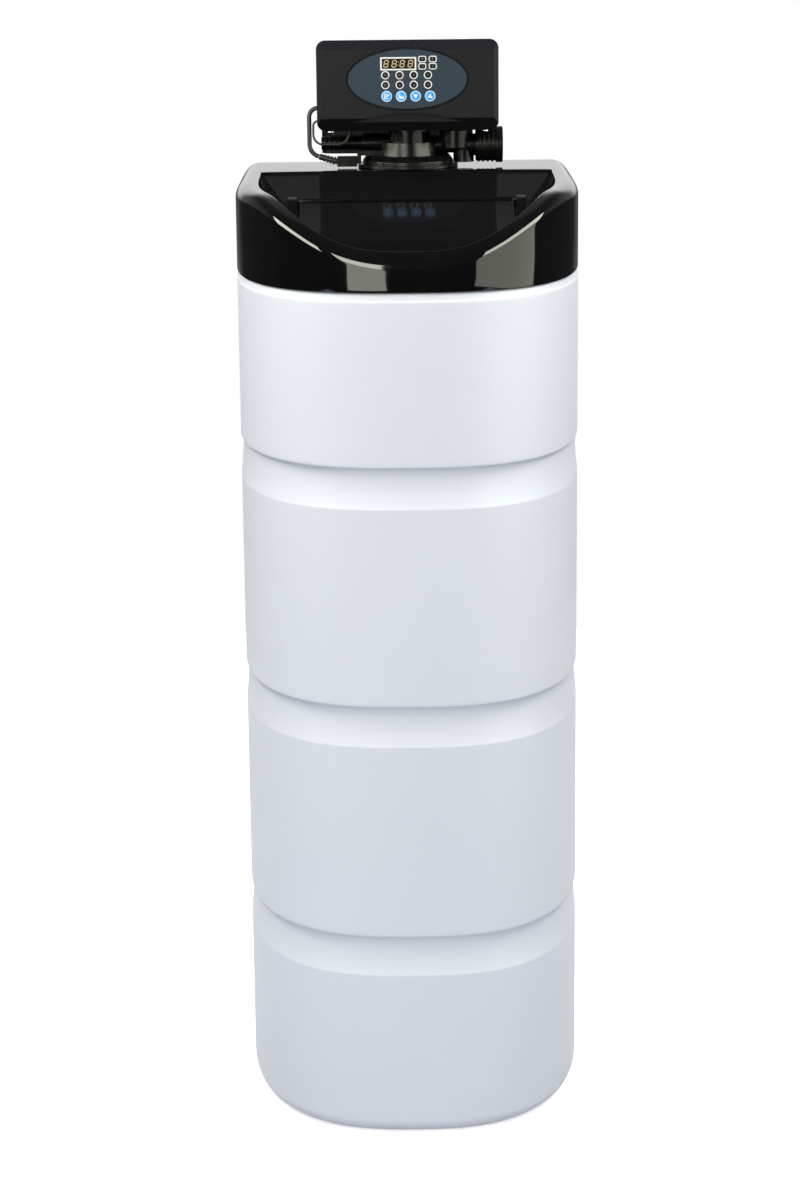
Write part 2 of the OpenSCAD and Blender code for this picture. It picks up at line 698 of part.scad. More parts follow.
pinion_x = axis_x - gear_module * (gear_teeth + pinion_teeth) / 2;
pinion_shaft_r = 2.5;
motor_r = 17;
motor_h = 22;
motor_z = bracket_z + bracket_t;
pinion_turn = pinion_teeth % 2 == 0 ? 180 / pinion_teeth : 0;
module motor_pinion() {
    color(gear_c) translate([pinion_x, axis_y, gear_z]) union() {
        linear_extrude(height = gear_h) rotate(pinion_turn) gear_plan(pinion_teeth);
        cylinder(h = motor_z - gear_z + 8, r = pinion_shaft_r);
    }
}
module motor_bracket() {
    color(steel_c) difference() {
        union() {
            block([axis_x - 8, axis_y - post_y - 5, bracket_z], [axis_x + 8, axis_y + post_y + 5, motor_z]);
            block([pinion_x - motor_r, axis_y - motor_r, bracket_z], [axis_x, axis_y + motor_r, motor_z]);
            for (s = [-1, 1]) bar_z(cap_z + cap_t, bracket_z + 1, 4, axis_x, axis_y + s * post_y);
        }
        bar_z(bracket_z - 1, motor_z + 1, pinion_shaft_r + 2, pinion_x, axis_y);
    }
}
module gear_motor() {
    color(steel_c) difference() {
        bar_z(motor_z, motor_z + motor_h, motor_r, pinion_x, axis_y);
        bar_z(motor_z - 1, motor_z + 8.5, pinion_shaft_r + run_gap, pinion_x, axis_y);
    }
}

// Inlet and outlet stubs along +Z: a ribbed barrel with an end ring, a chamber and a wider connecting bore
stub_l = 27.5;
ring_l = 7;
chamber_l = 15;
chamber_r = port_r - 2;
module port_stub() {
    difference() {
        union() {
            cylinder(h = stub_l, r = stub_r - 1);
            for (i = [0:3]) translate([0, 0, 2 + 4.6 * i]) cylinder(h = 2.4, r = stub_r);
            translate([0, 0, stub_l - ring_l]) cylinder(h = ring_l, r = stub_r + 0.7);
        }
        translate([0, 0, -1]) cylinder(h = stub_l + 2, r = chamber_r);
        translate([0, 0, chamber_l]) cylinder(h = stub_l, r = port_r);
    }
}
module outlet_stub() {
    color(satin_c) translate([branch_end, axis_y, branch_z]) rotate([0, 90, 0]) port_stub();
}
module inlet_stub() {
    color(satin_c) translate([axis_x, rear_end, branch_z]) rotate([-90, 0, 0]) port_stub();
}
// Meter turbine between two spiders in the outlet's chamber
axle_r = 1.5;
spider_t = 2;
rotor_l = chamber_l - 2 * spider_t - 2;
module in_chamber() {
    translate([branch_end, axis_y, branch_z]) rotate([0, 90, 0]) children();
}
module outlet_turbine() {
    color(blue_c) in_chamber() union() {
        translate([0, 0, 0.5]) cylinder(h = chamber_l - 1, r = axle_r);
        translate([0, 0, spider_t + 1]) cylinder(h = rotor_l, r = 3.5);
        for (a = [0:60:120]) rotate(a) translate([1 - chamber_r, -0.6, spider_t + 1.5])
            cube([2 * chamber_r - 2, 1.2, rotor_l - 1]);
    }
}
module spider() {
    difference() {
        union() {
            difference() {
                cylinder(h = spider_t, r = chamber_r - slip);
                translate([0, 0, -1]) cylinder(h = spider_t + 2, r = chamber_r - 1.5);
            }
            cylinder(h = spider_t, r = 3.2);
            for (a = [0:120:240]) rotate(a) translate([2.5, -0.8, 0]) cube([chamber_r - 3.5, 1.6, spider_t]);
        }
        translate([0, 0, -1]) cylinder(h = spider_t + 2, r = axle_r + run_gap);
    }
}
module turbine_cage() {
    color(white_c) in_chamber() {
        translate([0, 0, slip]) spider();
        translate([0, 0, chamber_l - spider_t - slip]) spider();
    }
}

// Drain stub with its flow disc, and the brine fitting
drain_l = 48;
rib_step = 5;
flow_disc_r = 6;
flow_disc_t = 4;
module drain_stub() {
    color(satin_c) difference() {
        union() {
            bar_x(drain_end - drain_l, drain_end, drain_r - 0.5, axis_y, drain_z);
            for (i = [0:3]) translate([drain_end - drain_l + 3 + rib_step * i, 0, 0])
                bar_x(0, 3, drain_r, axis_y, drain_z);
            bar_x(drain_end - 6, drain_end, drain_r + 2, axis_y, drain_z);
        }
        bar_x(drain_end - drain_l - 1, drain_end + 1, drain_bore_r, axis_y, drain_z);
    }
}
module drain_flow_disc() {
    color(white_c) difference() {
        bar_x(drain_end, drain_end + flow_disc_t, flow_disc_r, axis_y, drain_z);
        bar_x(drain_end - 1, drain_end + flow_disc_t + 1, 1.5, axis_y, drain_z);
    }
}
brine_end = axis_y + adapter_r - 4;
brine_tube_r = 4.8;
module brine_fitting() {
    color(gear_c) difference() {
        union() {
            translate([brine_x, brine_end + 12, brine_z]) rotate([90, 0, 0]) cylinder(h = 8, r = 8, $fn = 6);
            bar_y(brine_end, brine_end + 22, 6.5, brine_x, brine_z);
        }
        bar_y(brine_end - 1, brine_end + 8, 3, brine_x, brine_z);
        bar_y(brine_end + 8, brine_end + 23, brine_tube_r, brine_x, brine_z);
    }
}

// Brine well in the salt space, with the pick-up tube, float and safety valve
well_wall = 3;
tube_r = 6;
tube_low = 40;
float_z = 300;
float_h = 80;
float_r = 28;
stop_h = 6;
stop_r = 10;
cap_edge = 2;
cap_lid_t = 4;
cap_plug_h = 12;
module at_well() {
    translate([well_x, well_y, 0]) children();
}
module brine_well() {
    color(white_c) at_well() difference() {
        translate([0, 0, floor_t]) cylinder(h = well_top - floor_t, r = well_r);
        translate([0, 0, floor_t - 1]) cylinder(h = well_top, r = well_r - well_wall);
        for (a = [0, 90]) rotate([0, 90, a + 45]) translate([-floor_t - 22, 0, -well_r - 1])
            cylinder(h = 2 * well_r + 2, r = 6);
    }
}
module brine_well_cap() {
    color(white_c) at_well() difference() {
        union() {
            translate([0, 0, well_top]) cylinder(h = cap_lid_t, r = well_r + cap_edge);
            translate([0, 0, well_top - cap_plug_h])
                cylinder(h = cap_plug_h + 1, r = well_r - well_wall - slip);
        }
        translate([0, 0, well_top - cap_plug_h - 1]) cylinder(h = cap_plug_h + 1, r = well_r - 2 * well_wall);
    }
}
safety_h = 46;
module safety_valve() {
    color(white_c) at_well() difference() {
        union() {
            translate([0, 0, well_top - safety_h]) cylinder(h = safety_h, r = 15);
            translate([0, 0, well_top - safety_h]) cylinder(h = 6, r = 19);
        }
        translate([0, 0, well_top - safety_h - 1]) cylinder(h = 20, r = tube_r + slip);
    }
}
tube_top = well_top - safety_h + 19;
module pickup_tube() {
    color(white_c) at_well() difference() {
        translate([0, 0, tube_low]) cylinder(h = tube_top - tube_low, r = tube_r);
        translate([0, 0, tube_low - 1]) cylinder(h = tube_top - tube_low + 2, r = tube_r - 1.5);
    }
}
module air_check() {
    color(white_c) at_well() difference() {
        translate([0, 0, floor_t]) cylinder(h = 60, r = 16);
        translate([0, 0, tube_low]) cylinder(h = 60, r = tube_r + slip);
        for (i = [0:5]) rotate(60 * i) translate([9, -1, floor_t + 6]) cube([10, 2, 20]);
    }
}
module float_ring(z, h, r, gap) {
    at_well() difference() {
        translate([0, 0, z]) cylinder(h = h, r = r);
        translate([0, 0, z - 1]) cylinder(h = h + 2, r = tube_r + gap);
    }
}
module brine_float() {
    color(blue_c) float_ring(float_z, float_h, float_r, run_gap);
}
module float_stops() {
    color(white_c) {
        float_ring(float_z - stop_h - slip / 2, stop_h, stop_r, slip / 5);
        float_ring(float_z + float_h + float_travel + slip, stop_h, stop_r, slip / 5);
    }
}
// Salt grid: a perforated floor on legs, cut round the vessel and the well
grid_t = 6;
grid_in = wall + groove_front + 4;
grid_hole_r = 6;
grid_step = 34;
grid_at = [-22, -170];
grid_leg_r = 9;
leg_back_y = axis_y - vessel_r - grid_leg_r - 2.5;
grid_legs = [[0.6 * cab_w / 2, leg_back_y], [-0.36 * cab_w / 2, leg_back_y],
    [0.57 * cab_w / 2, -0.64 * cab_d / 2], [-0.24 * cab_w / 2, -0.78 * cab_d / 2]];
module salt_grid() {
    color(white_c) difference() {
        union() {
            translate([0, 0, grid_z - grid_t]) linear_extrude(height = grid_t) difference() {
                polygon(plan(grid_in, grid_in));
                translate([axis_x, axis_y]) circle(r = vessel_r + 4);
                translate([-cab_w, axis_y - 90]) square([2 * cab_w, cab_d]);
                translate([well_x, well_y]) circle(r = well_r + 2);
            }
            for (p = grid_legs) bar_z(floor_t, grid_z - 1, grid_leg_r, p.x, p.y);
        }
        for (i = [0:3], j = [0:3])
            let (p = grid_at + grid_step * [i, j])
            bar_z(grid_z - grid_t - 1, grid_z + 1, grid_hole_r, p.x, p.y);
    }
}

// Head casing: crossing prisms give the rounded front view, the falling top, the bevelled side view and plan
head_y = axis_y - head_d / 2;
bevel_side = 4.5;
bevel_low = [10, 13];
bevel_top = [8, 10];
front_wall = 5;
recess = 2.5;
module rounded(w, h, r) {
    translate([r, 0]) square([w - 2 * r, h]);
    translate([0, r]) square([w, h - 2 * r]);
    for (x = [r, w - r], y = [r, h - r]) translate([x, y]) circle(r = r);
}
module head_form(in, front, r) {
    x0 = axis_x - head_w / 2 + in;
    y0 = head_y + front;
    y1 = head_y + head_d - in;
    z1 = head_top - in;
    w = head_w - 2 * in;
    intersection() {
        translate([x0, y1, head_z]) rotate([90, 0, 0]) linear_extrude(height = y1 - y0)
            rounded(w, z1 - head_z, r);
        translate([x0, y0, z1]) rotate([-head_tilt, 0, 0]) translate([0, 2 * head_d, -2 * head_h])
            rotate([90, 0, 0]) linear_extrude(height = 3 * head_d) rounded(w, 2 * head_h, r);
        translate([x0 - 1, 0, 0]) rotate([90, 0, 90]) linear_extrude(height = w + 2) polygon([
            [y0 + bevel_low.x, head_z - 1], [y0 + bevel_low.x, head_z], [y0, head_z + bevel_low.y],
            [y0, z1 - bevel_top.y], [y0 + bevel_top.x, z1 + 1], [y1 + 1, z1 + 1], [y1 + 1, head_z - 1]]);
        translate([x0, 0, head_z - 1]) linear_extrude(height = head_h + 2) polygon([
            [0, y0 + bevel_side], [bevel_side, y0], [w - bevel_side, y0], [w, y0 + bevel_side],
            [w, y1 + 1], [0, y1 + 1]]);
    }
}
function oval(a, b) = [for (i = [0:47]) [a * cos(7.5 * i), b * sin(7.5 * i)]];
module in_front(y0, y1) {
    translate([axis_x, y1, panel_z]) rotate([90, 0, 0]) linear_extrude(height = y1 - y0) children();
}
panel_gap = 2.5;
panel_y = head_y + 0.3;
panel_back = head_y + recess;
button_mid = 0.8;
button_x0 = button_mid - 1.5 * button_pitch;
window_side = 3.2;
window_size = [2 * (button_mid + 1.5 * button_pitch + button_r + window_side), panel_h - 10];
post_r = 5;
screw_r = 1.9;
screw_l = 24;
screw_head_r = 3.6;
screw_head_h = 2.2;
screw_in = 13;
screw_xs = [axis_x - head_w / 2 + screw_in, axis_x + head_w / 2 - screw_in];
screw_ys = [head_y + 2 * screw_in, head_y + head_d - screw_in];
board_y = head_y + 13.5;
board_t = 1.6;
standoff = [52, 18];
scoop_r = 167;
scoop_top = head_z + 18;
grommet_r = 4;
head_left = axis_x - head_w / 2;
loop_end = [axis_x - 59, axis_y - 30, head_z + 2 * seat];
lead_exits = [[head_left, plug_y, head_z + 20], [head_left, loop_end.y, head_z + 8]];
jack_r = 6;
jack_at = [axis_x + 58, head_z + 25];
module head_cover() {
    color(satin_c) difference() {
        union() {
            difference() {
                head_form(0, 0, head_r);
                difference() {
                    translate([0, 0, -1]) head_form(head_wall, front_wall, head_r - head_wall);
                    for (x = screw_xs, y = screw_ys)
                        bar_z(head_z + tray_t + 2 * seat, head_top, post_r, x, y);
                }
            }
            for (x = [-1, 1], z = [-1, 1])
                bar_y(head_y + front_wall - 1, board_y, 3, axis_x + x * standoff.x, panel_z + z * standoff.y);
        }
        in_front(head_y - 1, panel_back) polygon(oval(panel_w / 2 + panel_gap, panel_h / 2 + panel_gap));
        in_front(head_y - 1, head_y + front_wall + 1) square(window_size, center = true);
        bar_y(head_y - 1, head_y + 3, scoop_r, axis_x, scoop_top - scoop_r);
        for (x = screw_xs, y = screw_ys) bar_z(head_z, head_z + screw_l + 2, screw_r + slip, x, y);
        for (p = lead_exits) bar_x(p.x - 1, p.x + head_wall + 1, grommet_r + slip, p.y, p.z);
        bar_y(head_y + head_d - 2 * head_wall, head_y + head_d + 1, jack_r + slip, jack_at.x, jack_at.y);
    }
}
tray_t = 3.5;
tray_in = head_wall + seat;
tray_side = (head_r + head_wall) / 2;
module head_base() {
    x0 = axis_x - head_w / 2 + tray_side;
    y0 = head_y + 2 * bevel_low.x;
    z0 = head_z + seat;
    color(satin_c) difference() {
        union() {
            block([x0, y0, z0], [x0 + head_w - 2 * tray_side, head_y + head_d - tray_in, z0 + tray_t]);
            bar_z(z0, house_z, column_r + 12, axis_x, axis_y);
        }
        bar_z(z0 - 1, house_z + 1, column_r + slip, axis_x, axis_y);
        for (x = screw_xs, y = screw_ys) bar_z(z0 - 1, z0 + tray_t + 1, screw_r + slip, x, y);
        bar_z(z0 - 1, z0 + tray_t + 1, grommet_r + slip, loop_end.x, loop_end.y);
    }
}
module cover_screws() {
    color(steel_c) for (x = screw_xs, y = screw_ys) {
        bar_z(head_z - screw_head_h, head_z + seat, screw_head_r, x, y);
        bar_z(head_z + seat - 1, head_z + screw_l, screw_r, x, y);
    }
}

// Panel: display window, lamps and buttons in the oval plate
display_at = [-9, 15.5];
display_size = [34.5, 12];
lamp_r = 2.6;
lamp_xs = [-22, -7.8, 6.2, 20.3];
lamp_zs = [4.4, -5.2];
mark_size = [5, 3.4];
mark_xs = [14.8, 25.2];
mark_zs = [19.8, 12.8];
button_drop = -16.4;
button_hole_r = button_r + run_gap;
function button_place(i) = [button_x0 + button_pitch * i, button_drop];
module lamp_plan(grow) {
    for (x = lamp_xs, z = lamp_zs) translate([x, z]) circle(r = lamp_r + grow);
    for (x = mark_xs, z = mark_zs) translate([x, z]) square(mark_size + 2 * [grow, grow], center = true);
}
module control_panel() {
    color(panel_c) in_front(panel_y, panel_back) difference() {
        polygon(oval(panel_w / 2, panel_h / 2));
        translate(display_at) square(display_size, center = true);
        lamp_plan(0);
        for (i = [0:3]) translate(button_place(i)) circle(r = button_hole_r);
    }
}
module display_window() {
    color(glass_c) in_front(panel_y + slip, panel_back)
        translate(display_at) square(display_size - [slip, slip], center = true);
}
module indicator_lamps() {
    color(black_c) in_front(panel_y - slip, panel_back) lamp_plan(-slip / 2);
}
module display_module() {
    color(satin_c) in_front(panel_back + seat, board_y)
        translate(display_at) square(display_size + [4, 3], center = true);
}
module circuit_board() {
    color(board_c) in_front(board_y, board_y + board_t)
        square(2 * standoff + [12, 12], center = true);
}
button_proud = 0.6;
button_stem = 9;
module tact_switches() {
    color(satin_c) for (i = [0:3]) in_front(panel_y + button_stem + button_travel + slip, board_y)
        translate(button_place(i)) square([6, 6], center = true);
}
module push_button(i) {
    color(blue_c) {
        in_front(panel_y - button_proud, panel_back + slip) translate(button_place(i)) circle(r = button_r);
        in_front(panel_back + slip / 2, panel_back + 1.5) translate(button_place(i)) circle(r = button_r + 1);
        in_front(panel_back + 1, panel_y + button_stem) translate(button_place(i)) circle(r = 2);
    }
}
module power_inlet() {
    y1 = head_y + head_d;
    color(black_c) difference() {
        union() {
            bar_y(y1 - 14, y1 + 1.5, jack_r, jack_at.x, jack_at.y);
            bar_y(y1, y1 + 1.5, jack_r + 2, jack_at.x, jack_at.y);
        }
        bar_y(y1 - 9, y1 + 2, 2.8, jack_at.x, jack_at.y);
    }
}

// Sensor plug and ribbed boot at the left of the valve
plug_size = [20.5, 12, 10];
boot_l = 19;
boot_tilt = 16;
boot_r = 2.9;
module sensor_plug() {
    low = [plug_x - plug_size.x, plug_y - plug_size.y / 2, plug_z + 5.5 - plug_size.z];
    color(black_c) block(low, low + plug_size);
}
boot_at = [plug_x - plug_size.x, plug_y, plug_z + 5.5 - plug_size.z / 2];
module sensor_boot() {
    color(black_c) translate(boot_at) intersection() {
        rotate([0, boot_tilt - 90, 0]) union() {
            translate([0, 0, -4]) cylinder(h = boot_l + 4, r = boot_r);
            for (i = [0:4]) translate([0, 0, 2 + 3.4 * i]) cylinder(h = 1.8, r = 4.2 - 0.25 * i);
        }
        translate([-60, -20, -20]) cube([60, 40, 40]);
    }
}

// Leads: tubes along routes of round bends and straight runs, each in one plane that faces the front
sensor_lead_d = 4.5;
signal_lead_d = 2.2;
sensor_bend = 9.2;
signal_bend = 4.8;
loop_left_bend = 10;
loop_right_bend = 12;
loop_drop = 15.5;
bend_steps = 7;
boot_heading = [-cos(boot_tilt), 0, sin(boot_tilt)];
boot_tip = boot_at + (boot_l + 2 * slip) * boot_heading;
// A bend about c from angle a0 to a1 in the front view: places on it, each with the lead's direction there
function bend(c, r, a0, a1) = [for (k = [0:bend_steps])
    let (a = a0 + (a1 - a0) * k / bend_steps) [c + r * [cos(a), 0, sin(a)], [-sin(a), 0, cos(a)]]];
sensor_run_x = head_left - sensor_bend;
boot_bend = (boot_tip.x - sensor_run_x) / (1 - sin(boot_tilt));
sensor_route = concat(
    bend(lead_exits[0] - [0, 0, sensor_bend], sensor_bend, 90, 180),
    bend(boot_tip + boot_bend * [sin(boot_tilt), 0, cos(boot_tilt)], boot_bend, 180, 270 - boot_tilt));
loop_x = head_left - signal_bend;
loop_z = head_z - loop_drop;
signal_route = concat(
    bend(lead_exits[1] - [0, 0, signal_bend], signal_bend, 90, 180),
    bend([loop_x + loop_left_bend, loop_end.y, loop_z + loop_left_bend], loop_left_bend, 180, 270),
    bend([loop_end.x - loop_right_bend, loop_end.y, loop_z + loop_right_bend], loop_right_bend, 270, 360),
    [[loop_end, [0, 0, 1]]]);
function tube_ring(spot, r, sides) =
    let (u = [0, 1, 0], v = cross(spot[1], u))
    [for (i = [0:sides - 1]) spot[0] + r * (cos(360 * i / sides) * u + sin(360 * i / sides) * v)];
module lead(route, d, sides) {
    skin([for (spot = route) tube_ring(spot, d / 2, sides)]);
}
module sensor_lead() {
    color(black_c) lead(sensor_route, sensor_lead_d, 12);
}
module signal_lead() {
    color(black_c) lead(signal_route, signal_lead_d, 8);
}
module lead_grommets() {
    color(black_c) {
        for (p = lead_exits) bar_x(p.x, p.x + head_wall + 2, grommet_r, p.y, p.z);
        bar_z(loop_end.z, loop_end.z + tray_t + 2, grommet_r, loop_end.x, loop_end.y);
    }
}

cabinet_shell();
top_cover();
salt_flap();
hinge_ears();
flap_hinge_pins();
overflow_elbow();
overflow_gasket();
overflow_nut();
pressure_vessel();
vessel_boot();
resin_bed();
riser_tube();
lower_distributor();
upper_distributor();
tank_adapter();
neck_seal();
valve_body();
disc_housing();
fixed_disc();
moving_disc();
drive_shaft();
valve_cap();
drive_gear();
motor_pinion();
motor_bracket();
gear_motor();
outlet_stub();
outlet_turbine();
turbine_cage();
inlet_stub();
drain_stub();
drain_flow_disc();
brine_fitting();
brine_well();
brine_well_cap();
pickup_tube();
air_check();
brine_float();
float_stops();
safety_valve();
salt_grid();
head_base();
head_cover();
control_panel();
display_window();
display_module();
indicator_lamps();
circuit_board();
tact_switches();
push_button(0);  // program_button
push_button(1);  // manual_button
push_button(2);  // down_button
push_button(3);  // up_button
power_inlet();
cover_screws();
sensor_plug();
sensor_boot();
lead_grommets();
sensor_lead();
signal_lead();
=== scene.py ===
import json
import math

import bmesh
import bpy
import numpy as np
from mathutils import Matrix, Vector


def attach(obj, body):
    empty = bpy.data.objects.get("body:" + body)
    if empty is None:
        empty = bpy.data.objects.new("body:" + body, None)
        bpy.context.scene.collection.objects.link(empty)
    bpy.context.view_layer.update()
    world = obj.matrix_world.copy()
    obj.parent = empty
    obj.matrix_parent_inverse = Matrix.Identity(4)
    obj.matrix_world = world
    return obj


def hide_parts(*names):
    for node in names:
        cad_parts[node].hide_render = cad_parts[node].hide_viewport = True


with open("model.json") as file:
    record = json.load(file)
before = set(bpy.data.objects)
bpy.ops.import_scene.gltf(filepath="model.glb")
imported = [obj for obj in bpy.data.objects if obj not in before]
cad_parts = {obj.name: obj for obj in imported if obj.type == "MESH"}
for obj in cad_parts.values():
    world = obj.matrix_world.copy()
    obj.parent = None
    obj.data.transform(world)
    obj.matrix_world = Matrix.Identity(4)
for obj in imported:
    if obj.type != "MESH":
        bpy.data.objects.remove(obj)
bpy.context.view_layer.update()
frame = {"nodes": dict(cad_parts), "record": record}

nodes = frame["nodes"]
scene = bpy.context.scene
scene.view_settings.view_transform = "Standard"
MM = 0.001

# Camera at the photograph's viewing angle
PHOTO_HEIGHT = 1182
FOCAL_PX = 2879
SENSOR = 36.0
camera_data = bpy.data.cameras.new("camera")
camera_data.sensor_width = SENSOR
camera_data.lens = FOCAL_PX * SENSOR / PHOTO_HEIGHT
camera = bpy.data.objects.new("camera", camera_data)
PITCH, ROLL = math.radians(13.91), math.radians(-0.61)
camera.matrix_world = (Matrix.Translation((-0.0108, -2.860, 1.1945))
                       @ Matrix.Rotation(math.pi / 2 - PITCH, 4, "X") @ Matrix.Rotation(ROLL, 4, "Z"))
scene.collection.objects.link(camera)
scene.camera = camera

# Sizes of the object, in millimetres
CAB_W, CAB_D, RIM_Z, COVER_H = 335.0, 500.0, 827.0, 82.0
WALL, FLOOR_T, FOOT_R = 4.0, 5.0, 14.0
FRONT_ROUND, BACK_ROUND = 2.67, 6.0
GROOVE_TOPS, GROOVE_H, GROOVE_FRONT, GROOVE_SIDE = (205.0, 435.0, 665.0), 40.0, 5.0, 2.5
SHOULDER_H, BEAD_IN, BEAD_H = 8.0, 6.5, 16.0
COVER_WALL, ROLL_R, ROLL_LEN = 3.0, 125.0, 104.0
EDGE_FRONT_R, EDGE_BACK_R, EDGE_BLEND, RIM_BAND = 6.0, 14.0, 150.0, 9.5
DECK_IN, UNDER_SCALE, UNDER_LESS, INNER_EDGE = 0.5, 1.2, 2.7, 0.6
SKIRT_GAP, SKIRT_T, SKIRT_H = 0.3, 2.5, 12.0
MOUTH_W, MOUTH_BACK_Y, MOUTH_CORNER, MOUTH_ROUND, MOUTH_LIP = 290.0, 50.0, 8.0, 3.1, 2.4
FLAP_W, FLAP_T, FLAP_R, CREASE_Y, CREASE_DROP = 214.0, 4.0, 255.0, 8.0, 22.5
HOLLOW_SHARE, FLAP_GAP, SHELF_W, FLAP_ROUND, FLAP_BACK = 0.64, 3.0, 15.0, 4.5, 3.5
LEDGE_W, LEDGE_GAP, FLAP_SIDE_GAP, FLAP_FRONT_IN = 8.0, 0.7, 0.8, 22.0
BARREL_R, BARREL_X, BARREL_BORE_R, BARREL_EDGE = 3.5, 104.0, 2.06, 0.5
HINGE_FORWARD, HINGE_DOWN = 2.0, 2.5
AXIS_X, AXIS_Y = 2.0, 100.0
NECK_HOLE_R, ADAPTER_R = 41.0, 46.0
DECK_Z = RIM_Z + COVER_H
HEAD_Y, HEAD_Z, HEAD_HALF_W = 32.0, 949.5, 90.5
PANEL_Z = 1000.5


# Mesh helpers
def add_mesh(name, verts, faces):
    mesh = bpy.data.meshes.new(name)
    mesh.from_pydata([tuple(v) for v in verts], [], faces)
    mesh.update()
    obj = bpy.data.objects.new(name, mesh)
    scene.collection.objects.link(obj)
    return obj


def smooth(obj, angle=35):
    bm = bmesh.new()
    bm.from_mesh(obj.data)
    bmesh.ops.recalc_face_normals(bm, faces=bm.faces)
    bm.to_mesh(obj.data)
    bm.free()
    obj.data.shade_smooth()
    obj.data.set_sharp_from_angle(angle=math.radians(angle))
    return obj


def loft(name, rings, loop=False, angle=35):
    """Skin through rings of equal length, in millimetres: joined end to start, or capped at both ends."""
    count = len(rings[0])
    verts = np.vstack([np.asarray(r, float) for r in rings]) * MM
    faces = []
    last = len(rings) if loop else len(rings) - 1
    for k in range(last):
        a, b = k * count, (k + 1) % len(rings) * count
        for i in range(count):
            h = (i + 1) % count
            faces.append((a + i, a + h, b + h, b + i))
    if not loop:
        faces.append(tuple(range(count))[::-1])
        faces.append(tuple(range((len(rings) - 1) * count, len(rings) * count)))
    return smooth(add_mesh(name, verts, faces), angle)


def lathe(name, profile, origin, axis="Z", steps=96):
    """Turned piece: profile of (radius, height) pairs along Z or X, in millimetres, closed on itself."""
    turn = np.linspace(0, 2 * math.pi, steps, endpoint=False)
    spin = np.array(Matrix.Rotation(math.pi / 2, 3, "Y") if axis == "X" else Matrix.Identity(3))
    rings = []
    for radius, height in profile:
        ring = np.stack([radius * np.cos(turn), radius * np.sin(turn), np.full(steps, height)], axis=1)
        rings.append(ring @ spin.T + np.array(origin, float))
    return loft(name, rings, loop=True)


def join(name, pieces):
    """One piece made of several meshes."""
    bm = bmesh.new()
    for piece in pieces:
        bm.from_mesh(piece.data)
    mesh = bpy.data.meshes.new(name)
    bm.to_mesh(mesh)
    bm.free()
    for piece in pieces:
        bpy.data.objects.remove(piece)
    obj = bpy.data.objects.new(name, mesh)
    scene.collection.objects.link(obj)
    return obj


def applied(obj):
    """The piece with its modifiers made part of its mesh."""
    graph = bpy.context.evaluated_depsgraph_get()
    mesh = bpy.data.meshes.new_from_object(obj.evaluated_get(graph))
    obj.modifiers.clear()
    obj.data = mesh
    return obj


def bevelled(node, name, width, segments=3, limit=28, angle=40):
    """A copy of a node with its edges rounded, which stands for the node."""
    bm = bmesh.new()
    bm.from_mesh(nodes[node].data)
    bmesh.ops.remove_doubles(bm, verts=bm.verts, dist=2e-6)
    bmesh.ops.dissolve_limit(bm, angle_limit=math.radians(1), verts=bm.verts, edges=bm.edges)
    mesh = bpy.data.meshes.new(name)
    bm.to_mesh(mesh)
    bm.free()
    obj = bpy.data.objects.new(name, mesh)
    scene.collection.objects.link(obj)
    bevel = obj.modifiers.new("bevel", "BEVEL")
    bevel.width = width * MM
    bevel.segments = segments
    bevel.limit_method = "ANGLE"
    bevel.angle_limit = math.radians(limit)
    bevel.use_clamp_overlap = True
    applied(obj)
    smooth(obj, angle)
    weighted = obj.modifiers.new("flat_faces", "WEIGHTED_NORMAL")
    weighted.keep_sharp = True
    return applied(obj)


def cut(obj, tool):
    """Takes the tool's shape out of a piece."""
    modifier = obj.modifiers.new("cut", "BOOLEAN")
    modifier.operation = "DIFFERENCE"
    modifier.solver = "EXACT"
    modifier.object = tool
    applied(obj)
    bpy.data.objects.remove(tool)
    return obj


def place(obj, body, material, *replaced, slot=None):
    """Gives a piece its material and its body, and hides the nodes that it stands for."""
    obj.data.materials.clear()
    obj.data.materials.append(material)
    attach(obj, body)
    if replaced:
        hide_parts(*replaced)
    return obj


